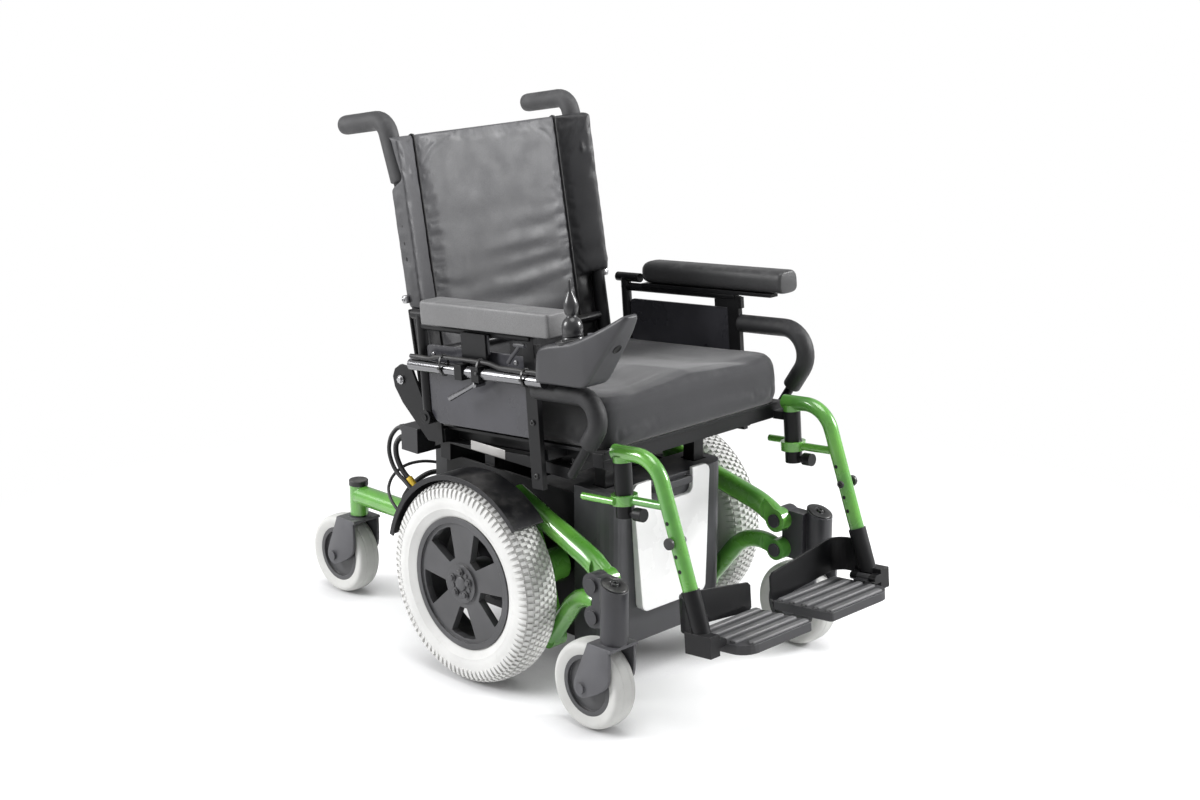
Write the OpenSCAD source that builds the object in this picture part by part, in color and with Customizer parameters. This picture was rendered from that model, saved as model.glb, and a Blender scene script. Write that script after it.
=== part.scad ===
/* [Wheels] */
// Drive wheel diameter
wheel_d = 356; // [346:1:362]
// Drive tyre width
wheel_w = 76; // [68:1:78]
// Distance between the drive tyre centres
track = 518; // [514:1:530]
// Caster wheel diameter
caster_d = 152; // [144:1:154]
// Caster tyre width
caster_w = 47; // [42:1:48]
// Front caster axle ahead of the drive axle
front_reach = 291; // [285:1:300]
// Rear caster axle behind the drive axle
rear_reach = 496; // [490:1:510]
// Distance between the rear caster centres
rear_track = 292; // [284:1:298]
// Distance from swivel axis back to the caster axle
trail = 44; // [38:1:46]

/* [Seat] */
// Seat width
seat_w = 444; // [440:1:450]
// Seat pan depth
seat_d = 400; // [390:1:405]
// Height of the front edge of the seat pan
seat_z = 457; // [452:1:475]
// Rearward tilt of the seat, degrees
seat_tilt = 5; // [4:0.5:6]
// Cushion thickness at its edge
cushion_t = 86; // [70:1:92]
// Depth of the two thigh hollows
hollow_depth = 9; // [4:1:14]

/* [Back] */
// Backrest height from its pivot
back_h = 488; // [450:1:510]
// Lean of the canes behind the seat normal, degrees
back_lean = 5.5; // [4:0.5:8]
// Straight length of a push handle
handle_len = 90; // [75:1:100]

/* [Armrests] */
// Height of the left pad top above the seat pan
pad_top = 221; // [218:1:232]
// Height of the right pad top above the seat pan
pad_top_right = 231; // [226:1:236]
// Pad width
pad_w = 50; // [44:1:50]
// Pad thickness
pad_t = 41; // [34:1:41]
// Left pad length
pad_len = 344; // [320:1:350]
// Right pad length
pad_len_right = 312; // [300:1:314]

/* [Legrests] */
// Bend of the hanger tube, degrees
hanger_bend = 74; // [72:1:78]
// Straight length of the hanger leg
hanger_len = 173; // [166:1:178]
// Footplate width
foot_w = 163; // [150:1:165]
// Footplate depth
foot_d = 122; // [110:1:128]

/* [Joystick] */
// Joystick housing width
joy_w = 58; // [54:1:58]
// Knob diameter at its shoulder
knob_d = 24; // [20:1:28]
// Height of the knob tip above the gimbal
stick_h = 108; // [98:1:116]

/* [Hidden] */
$fn = 64;

left = 1;
right = -1;
fit = 0.05;
gap = 0.3;
big = 1200;
lap = 1;

green = [0.35, 0.72, 0.13];
black = [0.08, 0.08, 0.09];
dark = [0.25, 0.25, 0.27];
mid = [0.36, 0.36, 0.38];
pale = [0.86, 0.86, 0.84];
white = [0.95, 0.95, 0.95];
cloth = [0.20, 0.20, 0.21];
vinyl = [0.30, 0.30, 0.31];
steel = [0.66, 0.66, 0.68];
rubber = [0.12, 0.12, 0.12];

// wheels
axle_z = wheel_d / 2;
wheel_x = track / 2;
tyre_in = wheel_x - wheel_w / 2;
bead_r = 116;
bead_w = 27;
tyre_mid = 145;
rim_w = 30;
barrel_r = 106;
rim_face = 26;
rim_back = 12;
win_r0 = 44;
win_r1 = 97;
win_w0 = 9;
win_w1 = 31;
spokes = 5;
hub_r = 34;
lug_r = 4;
lug_at = 21;
shaft_r = 12;
shaft_len = 69;
caster_r = caster_d / 2;
hub_rim = 52;
hub_w = 38;
dish_r = 44;
dish = 6;
boss_r = 14;
axle_r = 6;

// caster forks and stems
front_x = wheel_x;
front_y = -front_reach - trail;
rear_x = rear_track / 2;
rear_y = rear_reach - trail;
side_gap = 3;
fork_t = 5;
leg_in = caster_w / 2 + side_gap;
leg_out = leg_in + fork_t;
crown_z = caster_d + 1;
crown_top = crown_z + fork_t;
crown_r = 30;
leg_front = -22;
leg_rear = 30;
foot_r = 17;
stem_r = 12.7;
stem_top = crown_top + 58;
bore_top = stem_top + 4;
head_front_z = crown_top + 2;
head_rear_z = crown_top + 5;
bolt_r = 9;
bolt_t = 5;

// front swing arm
eye_x0 = tyre_in - 16;
eye_x1 = tyre_in + 6;
eye_x = (eye_x0 + eye_x1) / 2;
eye_r = 21;
low_eye_r = 19;
eye_y = front_y + 58;
up_eye_z = 238;
low_eye_z = 184;
pin_r = 9;
pin_head = 12;
head_t = 4;
housing_r = 23;
housing_rear_z = 264;
housing_front_z = 247;
lug_x1 = wheel_x - 7;
swing_x0 = tyre_in - 43;
swing_x1 = tyre_in - 31;
swing_y = -95;
swing_z = 205;
swing_r = 32;
swing_boss_r = 30;
swing_boss_x = tyre_in - 71;
up_r = 19;
up_rise = 36;
up_first = 10;
up_turn = 19;
up_bend = 160;
up_len = 195;
up_tip = [-48, 316];
up_tip_r = 17;
low_r = 16;
low_rise = 22;
low_first = 12;
low_turn = 74;
low_tip = [-125, 92];
low_tip_r = 19;
up_yaw = atan((eye_x - (swing_x1 + 1)) / 242);
low_run = low_tip[0] - eye_y;
low_yaw = atan((eye_x - (swing_x1 + 9)) / low_run);
low_dive = low_rise - low_turn;
low_ahead = low_run / cos(low_yaw) - low_first * cos(low_rise);
low_down = low_tip[1] - low_eye_z - low_first * sin(low_rise);
low_bend = (low_ahead * sin(low_dive) - low_down * cos(low_dive)) / (cos(low_turn) - 1);
low_len = ((sin(low_rise) - sin(low_dive)) * low_down - (cos(low_dive) - cos(low_rise)) * low_ahead)
    / (cos(low_turn) - 1);
web_half = 14;
bush_in = 12;
bush_out = 18;

// rear arm
tail_y = 262;
tail_z = 202;
tail_boss_r = 26;
tail_boss_half = 26;
rear_arm_r = 19;
head_r = 17.5;
head_top = 228;

// base
base_x = 130;
base_in = 125;
base_y0 = -185;
base_y1 = 215;
tray_z0 = 70;
tray_z1 = 75;
side_top = 330;
rail_x0 = 205;
rail_x1 = 225;
rail_z0 = 394;
rail_z1 = 413;
rail_y0 = -200;
rail_y1 = 120;
cross_y0 = -180;
cross_y1 = -155;
back_cross_y0 = 95;
back_cross_z0 = 364;
back_cross_z1 = 386;
post_x0 = 98;
post_x1 = 122;
seat_post_x0 = 180;
seat_post_x1 = 200;
tail_wide = 14;
tail_x1 = rear_x - tail_boss_half - 2;
tail_x0 = tail_x1 - tail_wide;
tail_end = 285;
tail_low = 177;
tail_high = 228;
shoulder_r = 20;
battery_x = 112;
battery_y = [-178, -42, 94];
battery_gap = 5;
battery_top = 286;
shroud_x = 146;
shroud_y0 = -212;
shroud_y1 = -130;
shroud_z0 = 72;
shroud_z1 = 352;
shroud_t = 4;
shroud_r = 30;
stud_r = 6;
stud_y = -150;
stud_z = [115, 290];
panel_z0 = 130;
panel_z1 = 358;
panel_y0 = -228;
panel_top_y = -219;
panel_w0 = 80;
panel_w1 = 95;
panel_r = 14;
notch_w = 52;
notch_z = 314;
grip_x = 46;
grip_y = -224;
grip_t = 6;
grip_z0 = 334;
grip_z1 = 346;
gear_r = 50;
gear_x1 = tyre_in - 10;
motor_x = (base_x + gear_x1) / 2 + 2;
motor_r = 38;
motor_y0 = 40;
motor_y1 = 195;
brake_r = 29;
brake_y = 213;
shaft_end = wheel_x - rim_w - shaft_len;
shaft_bore_end = shaft_end - 4;
fender_r0 = axle_z + 8;
fender_r1 = axle_z + 12;
fender_x0 = tyre_in + 5;
fender_x1 = wheel_x + wheel_w / 2 - 5;
fender_rear = 104;
fender_span = [84, 123];
lip = 5;
lip_t = 3;
tab_from = 140;
tab_span = 14;
strap_w = 15;
strap_r0 = 26;
ctrl_x = 110;
ctrl_y1 = 268;
ctrl_z0 = 236;
ctrl_z1 = 344;
plug_r = 9;
plug_len = 8;
plug_x = [-78, -40, 40, 78];
plug_z = 268;

// seat, in the tilted seat frame
seat_y = -275;
half = seat_w / 2;
pan_t = 5;
pan_z = -1;
srail_z0 = -28;
srail_z1 = pan_z - pan_t;
front_bar = 22;
cane_x = half - 4;
cane_r = 12.7;
pivot_y = seat_d + 18;
pivot_z = 12;
pivot_r = 6;
plate_x0 = cane_x + cane_r + 0.8;
plate_x1 = plate_x0 + 5;
brk_y0 = seat_d - 18;
brk_pts = [[-18, -28], [18, -28], [80, 33], [98, 60], [101, 78], [94, 92], [78, 101], [50, 98], [24, 42], [-18, 8]];
brk_bolt = [78, 74];
hang_x = half - 11;
hang_y = -29;
post_r = 15;
post_top = -15;
post_low = -106;
hang_pin = 10;
pin_low = -70;
pin_floor = -76;
knob_z = -98;
knob_r = 11;
knob_y0 = hang_y - 41;
knob_y1 = hang_y - 24;
neck_r = 5;
arm_x = half + 28;
arm_r = 10;
hinge_y = seat_d - 6;
hinge_z = 20;
lug_y = 14;
stop_y0 = 108;
stop_y1 = 144;
stop_x1 = arm_x - 7;

// cushion
cush_y0 = -9;
cush_y1 = seat_d + 2;
cush_n = 56;
cush_e = 0.11;

// back, in the leaning back frame
cane_low = -9;
bend_r = 28;
kink = 9.5;
kink_r = 60;
kink_z = back_h - 93;
upper_len = (back_h + bend_r * sin(kink) - kink_z - kink_r * sin(kink)) / cos(kink);
grip_from = 4;
spread_z = 108;
spread_r = 8;
grip_r = 17;
grip_cap = 4;
uph_low = 30;
bolster_low = 190;
uph_top = back_h - 2;
uph_x = cane_x + 17.5;
uph_mid = 6;
roll = 4;
seam_x = 169;
uph_front = 8;
uph_sag = 2;
groove = 4;
wedge_x = seam_x + 5;
wedge_end = cane_x + 10;
flap_x = cane_x - cane_r - 1.3;
bolster = 29;

// armrests
pad_x = max(arm_x + 13, uph_x + 3 + pad_w / 2);
pad_rear = 353;
strip_t = 4;
strip_half = 10;
top_r = 7.6;
stub_up = 8;
stub_r = 8.5;
tube_rear = hinge_y + 20;
bar_x = 5;
bar_y0 = 113;
bar_y1 = 139;
bar_low = -72;
panel_side_t = 4;
panel_side_z0 = 12;
panel_side_z1 = 148;
gusset_y1 = 170;
gusset_z0 = panel_side_z1 + 1;
gusset_z1 = gusset_z0 + 20;
eye_out = 13;
panel_side_y1 = hinge_y - 11;
panel_side_r = 24;
guard_r = 16;
guard_out = 3;
guard_y = 14;
guard_turn = 128;
guard_z = 121;
guard_bend = 44;
guard_len = 113;
guard_z_right = 96;
guard_bend_right = 36;
guard_len_right = 98;
sleeve_len = 44;
sleeve_len_right = 30;
guard_tube_r = 8;

// joystick, on the right armrest
joy_x = -(arm_x + 18);
jtube_x = -(arm_x + 25);
jtube_r = 10;
jtube_z = 116;
jtube_y0 = 71;
jtube_y1 = 400;
clamp_y0 = 215;
clamp_y1 = 275;
clamp_half = 13;
clamp_x1 = -(arm_x + 12);
clamp_x0 = clamp_x1 - 6;
joy_front = -127;
joy_rear = 71;
joy_bot = 119;
joy_side = [[71, 119], [61, 176], [36, 184], [-14, 192], [-62, 210], [-124, 240], [-127, 234],
    [-112, 210], [-38, 119]];
joy_nose = 19;
gim_y = 6;
gim_z = 180;
well_r = 17;
well_z = 170;
dish_joy_r = 24;
dish_joy_z = 184;
ring_r = 14;
ring_in = 9.5;
ring_h = 3;
trun_r = 2.5;
trun_out = 19;
rod_r = 5;
boot_z = 14;
boot_r = 16;
boot_top = 44;
boot_top_r = 7.5;
boot_t = 2;
knob_at = 50;
button_y = -36;
button_r = 6;
button_top = 203;
button_low = 190;
button_floor = 186;
lead_r = 4;
lead_x = jtube_x - 3;
lead_pts = [[0, 71.5, 130], [0, 92, 131], [0, 112, 130.5], [0, 132, 130.5], [0, 152, 130.5], [0, 172, 131],
    [0, 192, 135], [0, 206, 136], [0, 226, 136], [0, 246, 136], [0, 264, 136], [0, 284, 136], [0, 302, 136],
    [0, 318, 136], [0, 332, 134], [0, 346, 131], [0, 362, 130.5], [0, 380, 131], [0, 396, 131]];

// legrests
leg_r = 12.7;
leg_start = -14;
leg_flat = 48;
leg_bend = 55;
collar_r = 15;
link_z = -76;
link_r = 7;
ring_gap = 0.3;
ring_out = 22;
ring_half = 8;
lever_r = 6;
lever_len = 72;
spigot_r = 10;
spigot_len = 60;
socket_len = 68;
leg_tube_r = 15;
leg_tube_len = 88;
bolt_at = 84;
legbolt_r = 5;
legbolt_out = 18;
kn_x = hang_x - 15;
kn_z = -285;
kn_r = 7;
kn_pin = 4;
knuckle_room = 1.5;
blk_x0 = hang_x - 5;
blk_x1 = hang_x + 17;
blk_y0 = -214;
blk_y1 = -160;
blk_z0 = -305;
blk_z1 = -270;
kn_y = [-214, -200, -174, -160];
plate_x = kn_x - 9;
plate_y1 = -130;
plate_y0 = plate_y1 - foot_d;
plate_z0 = -306;
plate_web = -298;
plate_top = -291;
rib_top = -288;
rib_w = 10;
ribs = 5;
plate_edge = 5;
plate_r = 30;
loop_t = 4;
loop_z0 = -282;
loop_z1 = -224;
loop_in_z0 = -296;
loop_in_z1 = -246;
loop_y = -124;
loop_x0 = 26;
loop_x1 = hang_x - 2;
loop_tie = -172;
loop_bend = 26;

// loom routes, one side and mirrored
loom_r = 5;
loom_pts = [[78, 276.3, 268], [78, 283, 268], [83, 293, 268], [100, 302, 266], [125, 304, 258], [150, 300, 246],
    [170, 290, 236], [182, 272, 228], [186, 252, 218], [182, 236, 204], [175, 226, 190], [172, 219.5, 184],
    [172, 213.3, 184]];
extra_r = 5;
extra_pts = [[-180, 276.3, 357], [-180, 281, 357], [-183, 286, 351], [-187, 288, 341], [-189, 285, 324], [-188, 277, 306],
    [-186, 266, 292], [-184, 252, 281], [-184, 238, 269], [-181, 218, 252], [-178, 200, 240], [-176, 188, 230],
    [-175, 184, 222], [-175, 184, 216.3]];
thin_r = 3;
thin_pts = [[-40, 276.3, 268], [-40, 281, 268], [-46, 292, 270], [-62, 312, 276], [-90, 330, 281], [-120, 343, 277],
    [-146, 347, 263], [-166, 338, 247], [-178, 320, 234], [-186, 298, 224], [-190, 274, 214], [-189, 250, 206],
    [-182, 232, 198], [-173, 220, 195], [-173, 213.3, 195]];
dock = [[-192, 222, 340], [-90, 266, 347]];
dock_box = [[-192, 222, 346], [-150, 266, 386]];
dock_plug_z = [357, 376];
dock_plug_x = -180;
dock_plug_r = 6;
dock_plug_y = 276;
trunk_r = 9;
trunk_pts = [[-70, 250, 344.5], [-70, 250, 358], [-76, 244, 374], [-92, 228, 386], [-112, 206, 390],
    [-128, 182, 388], [-136, 156, 380], [-138, 138, 376], [-138, 120.5, 375]];

foot_front_y = seat_y + plate_y0 * cos(seat_tilt) + plate_z0 * sin(seat_tilt);
rear_end_y = rear_reach + caster_r;
frame_y = -(foot_front_y + rear_end_y) / 2;

module chair() { translate([0, frame_y, 0]) children(); }

module tilted() { translate([0, seat_y, seat_z]) rotate([-seat_tilt, 0, 0]) children(); }

module seat() { chair() tilted() children(); }

module back() { seat() translate([0, pivot_y, pivot_z]) rotate([-back_lean, 0, 0]) children(); }

module side(s) { mirror([s < 0 ? 1 : 0, 0, 0]) children(); }

module both() {
    children();
    mirror([1, 0, 0]) children();
}

module box(a, b) { translate(a) cube(b - a); }

// cylinder along X, from x0 to x1, through the point y, z
module xcyl(r, x0, x1, y, z) { translate([x0, y, z]) rotate([0, 90, 0]) cylinder(r = r, h = x1 - x0); }

module ycyl(r, y0, y1, x, z) { translate([x, y1, z]) rotate([90, 0, 0]) cylinder(r = r, h = y1 - y0); }

module zcyl(r, z0, z1, x, y) { translate([x, y, z0]) cylinder(r = r, h = z1 - z0); }

// flat shape drawn in the side view, thickened from x0 to x1
module side_plate(x0, x1) { translate([x0, 0, 0]) rotate([90, 0, 90]) linear_extrude(height = x1 - x0) children(); }

// flat shape drawn in the front view, thickened from y0 to y1
module front_plate(y0, y1) { translate([0, y1, 0]) rotate([90, 0, 0]) linear_extrude(height = y1 - y0) children(); }

// tube drawing that walks forward along its own heading
module head(x, y, z, h) { translate([x, y, z]) rotate([h - 90, 0, 0]) rotate([0, 0, -90]) children(); }

// straight piece; a and b say whether it laps into a bend at its start or end
module rod(r, len, a = 0, b = 0) { translate([0, 0, -a * lap]) cylinder(r = r, h = len + (a + b) * lap); }

module go(len) { translate([0, 0, len]) children(); }

module turn(r, bend, a) {
    rotate([0, 0, a < 0 ? 180 : 0]) translate([bend, 0, 0]) rotate([90, 0, 180])
        rotate_extrude(angle = abs(a)) translate([bend, 0]) circle(r + fit);
}

module turned(bend, a) {
    rotate([0, 0, a < 0 ? 180 : 0]) translate([bend, 0, 0]) rotate([0, abs(a), 0]) translate([-bend, 0, 0])
        rotate([0, 0, a < 0 ? 180 : 0]) children();
}

function arc(cx, cy, r, a0, a1, n) =
    [for (i = [0 : n]) [cx + r * cos(a0 + (a1 - a0) * i / n), cy + r * sin(a0 + (a1 - a0) * i / n)]];

function soft(a, h, e) = h * sign(a) * pow(abs(a), e);

function unit(v) = v / norm(v);

// closed skin over a stack of rings, each counterclockwise about the stack direction
module loft(rings) {
    n = len(rings[0]);
    m = len(rings);
    polyhedron(points = [for (r = rings) for (p = r) p], faces = concat(
        [[for (i = [0 : n - 1]) i]],
        [[for (i = [0 : n - 1]) m * n - 1 - i]],
        [for (k = [0 : m - 2]) for (i = [0 : n - 1]) [k * n + i, (k + 1) * n + i, (k + 1) * n + (i + 1) % n]],
        [for (k = [0 : m - 2]) for (i = [0 : n - 1]) [k * n + i, (k + 1) * n + (i + 1) % n, k * n + (i + 1) % n]]));
}

// round cable through a list of points
module cable(pts, r) {
    n = 8;
    m = len(pts);
    up = [0.31, 0.22, 0.92];
    loft([for (k = [0 : m - 1])
        let (t = unit(pts[min(k + 1, m - 1)] - pts[max(k - 1, 0)]), a = unit(cross(up, t)), b = cross(t, a))
        [for (i = [0 : n - 1]) pts[k] + r * (a * cos(360 * i / n) + b * sin(360 * i / n))]]);
}

// wheels

module wheel_at(s, x, y, z) { chair() side(s) translate([x, y, z]) rotate([0, 90, 0]) children(); }

module drive_tyre(s) {
    r_out = wheel_d / 2 - tyre_mid;
    pts = [for (a = [-115 : 10 : 115]) [tyre_mid + soft(cos(a), r_out, 0.75), soft(sin(a), wheel_w / 2, 0.75)]];
    color(pale) wheel_at(s, wheel_x, 0, axle_z)
        rotate_extrude() polygon(concat([[bead_r, -bead_w]], pts, [[bead_r, bead_w]]));
}

module drive_rim(s) {
    color(dark) wheel_at(s, wheel_x, 0, axle_z) {
        difference() {
            union() {
                rotate_extrude() polygon([[barrel_r, -rim_w], [bead_r, -rim_w], [bead_r, rim_w], [barrel_r, rim_w]]);
                translate([0, 0, rim_back]) cylinder(r = barrel_r + 2, h = rim_face - rim_back);
                translate([0, 0, -rim_w]) cylinder(r = hub_r, h = 2 * rim_w);
                translate([0, 0, -rim_w - shaft_len]) cylinder(r = shaft_r, h = shaft_len + 1);
                for (i = [0 : spokes - 1]) rotate([0, 0, 360 * i / spokes])
                    translate([lug_at, 0, rim_w - 1]) cylinder(r = lug_r, h = 3);
            }
            for (i = [0 : spokes - 1]) rotate([0, 0, 360 * i / spokes])
                translate([0, 0, rim_back - 2]) linear_extrude(height = rim_face - rim_back + 4)
                    polygon([[win_r0, -win_w0], [win_r1 - 4, -win_w1], [win_r1, -win_w1 * 0.7],
                        [win_r1 + 3, 0], [win_r1, win_w1 * 0.7], [win_r1 - 4, win_w1], [win_r0, win_w0]]);
        }
    }
}

module caster_tyre(s, x, y) {
    t = caster_r - hub_rim;
    c = hub_rim + t * 0.5;
    pts = [for (a = [-90 : 12 : 90]) [c + soft(cos(a), t * 0.5, 0.7), soft(sin(a), caster_w / 2, 0.7)]];
    color(pale) wheel_at(s, x, y, caster_r)
        rotate_extrude() polygon(concat([[hub_rim, -hub_w / 2]], pts, [[hub_rim, hub_w / 2]]));
}

module caster_hub(s, x, y) {
    color(mid) wheel_at(s, x, y, caster_r) difference() {
        translate([0, 0, -hub_w / 2]) cylinder(r = hub_rim, h = hub_w);
        for (k = [0, 1]) mirror([0, 0, k]) translate([0, 0, hub_w / 2 - dish]) difference() {
            cylinder(r = dish_r, h = dish + 1);
            translate([0, 0, -1]) cylinder(r = boss_r, h = dish + 3);
        }
        translate([0, 0, -hub_w]) cylinder(r = axle_r + fit, h = 2 * hub_w);
    }
}

// fork with its stem standing on the swivel axis
module caster_fork(s, x, y) {
    color(dark) chair() side(s) translate([x, y, 0]) {
        box([-leg_out, leg_front, crown_z], [leg_out, leg_rear, crown_top]);
        zcyl(crown_r - 8, crown_z + 1, crown_top + 1.7, 0, 0);
        zcyl(stem_r, crown_top, stem_top, 0, 0);
        both() side_plate(leg_in, leg_out) {
            polygon([[leg_front, crown_top], [leg_rear, crown_top], [trail + foot_r - 3, caster_r + 8],
                [trail + 6, caster_r - 12], [trail - 12, caster_r - 6]]);
            translate([trail, caster_r]) circle(foot_r);
        }
        xcyl(axle_r, -leg_out, leg_out, trail, caster_r);
        both() xcyl(bolt_r, leg_out - 1, leg_out + bolt_t, trail, caster_r);
    }
}

// front suspension

module front_housing(s) {
    slope = atan((housing_rear_z - housing_front_z) / (2 * housing_r));
    mid_z = (housing_rear_z + housing_front_z) / 2;
    color(dark) chair() side(s) difference() {
        union() {
            difference() {
                zcyl(housing_r, head_front_z, housing_rear_z + 8, front_x, front_y);
                translate([front_x, front_y, mid_z]) rotate([slope, 0, 0])
                    box([-2 * housing_r, -2 * housing_r, 0], [2 * housing_r, 2 * housing_r, 4 * housing_r]);
            }
            box([eye_x1, front_y + 12, low_eye_z - low_eye_r + 3], [lug_x1, eye_y, up_eye_z + eye_r - 4]);
            xcyl(eye_r, eye_x1, lug_x1, eye_y, up_eye_z);
            xcyl(low_eye_r, eye_x1, lug_x1, eye_y - 2, low_eye_z);
            for (p = [[eye_y, up_eye_z], [eye_y - 2, low_eye_z]]) {
                xcyl(pin_r, eye_x0 - 1, eye_x1 + 1, p[0], p[1]);
                xcyl(pin_head, eye_x0 - head_t, eye_x0, p[0], p[1]);
                xcyl(pin_head, lug_x1 - 1, lug_x1 + head_t, p[0], p[1]);
            }
        }
        zcyl(stem_r + fit, head_front_z - 1, bore_top, front_x, front_y);
    }
}

module limb(a, b, w) {
    d = unit(b - a);
    n = [-d[1], d[0]] * w;
    polygon([a + n, a - n, b - n, b + n]);
}

// room beside an arm's eye for the housing lug and the bolt head
module eye_cheeks(z) {
    m = eye_r + 4;
    box([eye_x1, eye_y - m, z - 2 * m], [lug_x1, eye_y + m, z + 2 * m]);
    box([eye_x0 - m, eye_y - m, z - 2 * m], [eye_x0, eye_y + m, z + 2 * m]);
}

module front_upper_arm(s) {
    color(green) chair() side(s) difference() {
        union() {
            xcyl(eye_r, eye_x0, eye_x1, eye_y, up_eye_z);
            translate([eye_x, eye_y, up_eye_z]) rotate([0, 0, up_yaw]) head(0, 0, 0, up_rise) {
                rod(up_r, up_first, 0, 1);
                go(up_first) turn(up_r, up_bend, -up_turn);
                go(up_first) turned(up_bend, -up_turn) rod(up_r, up_len, 1);
            }
            side_plate(swing_x0, swing_x1) {
                translate(up_tip) circle(up_tip_r);
                translate([swing_y, swing_z]) circle(swing_r);
                translate(low_tip) circle(low_tip_r);
                limb(up_tip, [swing_y, swing_z], web_half);
                limb([swing_y, swing_z], low_tip, web_half);
            }
            xcyl(swing_boss_r, swing_boss_x, swing_x1, swing_y, swing_z);
        }
        eye_cheeks(up_eye_z);
        xcyl(pin_r + fit, eye_x0 - 9, eye_x1 + 9, eye_y, up_eye_z);
        xcyl(bush_out + fit, swing_boss_x - 1, swing_x1 + 1, swing_y, swing_z);
    }
}

module front_lower_arm(s) {
    color(green) chair() side(s) difference() {
        union() {
            xcyl(low_eye_r, eye_x0, eye_x1, eye_y - 2, low_eye_z);
            xcyl(low_tip_r, swing_x1, swing_x1 + 18, low_tip[0], low_tip[1]);
            translate([eye_x, eye_y - 2, low_eye_z]) rotate([0, 0, low_yaw]) head(0, 0, 0, low_rise) {
                rod(low_r, low_first, 0, 1);
                go(low_first) turn(low_r, low_bend, -low_turn);
                go(low_first) turned(low_bend, -low_turn) rod(low_r, low_len - 2, 1);
            }
        }
        eye_cheeks(low_eye_z);
        xcyl(pin_r + fit, eye_x0 - 9, eye_x1 + 9, eye_y - 2, low_eye_z);
        box([0, low_tip[0] - 40, low_tip[1] - 40], [swing_x1, low_tip[0] + 40, low_tip[1] + 60]);
    }
}

module rear_arm(s) {
    color(green) chair() side(s) difference() {
        union() {
            zcyl(head_r, head_rear_z, head_top, rear_x, rear_y);
            ycyl(rear_arm_r, tail_y, rear_y - 4, rear_x, tail_z);
            xcyl(tail_boss_r, rear_x - tail_boss_half, rear_x + tail_boss_half, tail_y, tail_z);
        }
        zcyl(stem_r + fit, head_rear_z - 9, bore_top, rear_x, rear_y);
        xcyl(bush_out + fit, rear_x - 2 * tail_boss_half, rear_x + 2 * tail_boss_half, tail_y, tail_z);
    }
}

module pivot_bushes() {
    color(rubber) chair() both() {
        difference() {
            xcyl(bush_out, swing_boss_x, swing_x1, swing_y, swing_z);
            xcyl(bush_in, swing_boss_x - 1, swing_x1 + 1, swing_y, swing_z);
        }
        difference() {
            xcyl(bush_out, rear_x - tail_boss_half, rear_x + tail_boss_half, tail_y, tail_z);
            xcyl(bush_in, rear_x - 2 * tail_boss_half, rear_x + 2 * tail_boss_half, tail_y, tail_z);
        }
    }
}

// base

module base_frame() {
    bar = post_x1 - post_x0;
    color(black) chair() difference() {
        union() {
            box([-base_x, base_y0, tray_z0], [base_x, base_y1, tray_z1]);
            both() {
                box([base_in, base_y0, tray_z0], [base_x, base_y1, side_top]);
                box([post_x0, cross_y0, side_top - bar], [base_x, cross_y0 + bar, side_top]);
                box([post_x0, back_cross_y0, side_top - bar], [base_x, back_cross_y0 + bar, side_top]);
                box([post_x0, cross_y0, side_top - 1], [post_x1, cross_y1, rail_z1]);
                box([post_x0, back_cross_y0, side_top - 1], [post_x1, rail_y1, back_cross_z1]);
                box([rail_x0, rail_y0, rail_z0], [rail_x1, rail_y1, rail_z1]);
                box([rail_x0, back_cross_y0, back_cross_z0], [rail_x1, rail_y1, rail_z1]);
                box([seat_post_x0, cross_y0, rail_z0], [seat_post_x1, cross_y1, seat_z]);
                box([seat_post_x0, back_cross_y0, back_cross_z0], [seat_post_x1, rail_y1, seat_z]);
                xcyl(bush_in, base_in, swing_x1 + 2, swing_y, swing_z);
                xcyl(shoulder_r, base_in, swing_boss_x - 1, swing_y, swing_z);
                box([tail_x0, base_y1 - 8, tail_low], [tail_x1, tail_end, tail_high]);
            }
            box([-base_x, base_y1 - 5, tray_z0], [base_x, base_y1, side_top]);
            box([-rail_x1, cross_y0, rail_z0], [rail_x1, cross_y1, rail_z1]);
            box([-rail_x1, back_cross_y0, back_cross_z0], [rail_x1, rail_y1, back_cross_z1]);
            xcyl(bush_in, -rear_x - tail_boss_half - 2, rear_x + tail_boss_half + 2, tail_y, tail_z);
        }
        tilted() box([-big, -big, srail_z0], [big, big, big]);
    }
}

module batteries() {
    color(black) chair() for (i = [0, 1])
        box([-battery_x, battery_y[i], tray_z1], [battery_x, battery_y[i + 1] - battery_gap, battery_top]);
}

function shroud_shape(x, y0, y1, r) = concat([[x, y1], [-x, y1]],
    arc(-x + r, y0 + r, r, 180, 270, 6), arc(x - r, y0 + r, r, 270, 360, 6));

module front_shroud() {
    t = shroud_t;
    color(dark) chair() {
        difference() {
            translate([0, 0, shroud_z0]) linear_extrude(height = shroud_z1 - shroud_z0)
                polygon(shroud_shape(shroud_x, shroud_y0, shroud_y1, shroud_r));
            translate([0, 0, shroud_z0 - 1]) linear_extrude(height = shroud_z1 - shroud_z0 - t + 1)
                polygon(shroud_shape(shroud_x - t, shroud_y0 + t, shroud_y1 + t, shroud_r - t));
            box([-post_x1 - t, cross_y0 - t, shroud_z1 - 2 * t], [-post_x0 + t, cross_y1 + t, shroud_z1 + t]);
            box([post_x0 - t, cross_y0 - t, shroud_z1 - 2 * t], [post_x1 + t, cross_y1 + t, shroud_z1 + t]);
        }
        both() for (z = stud_z) xcyl(stud_r, base_x, shroud_x - t + 1, stud_y, z);
        box([-grip_x, grip_y, grip_z0], [grip_x, grip_y + grip_t, grip_z1]);
        both() box([grip_x - grip_t, grip_y, grip_z0], [grip_x, shroud_y0 + 1, grip_z1]);
    }
}

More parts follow.
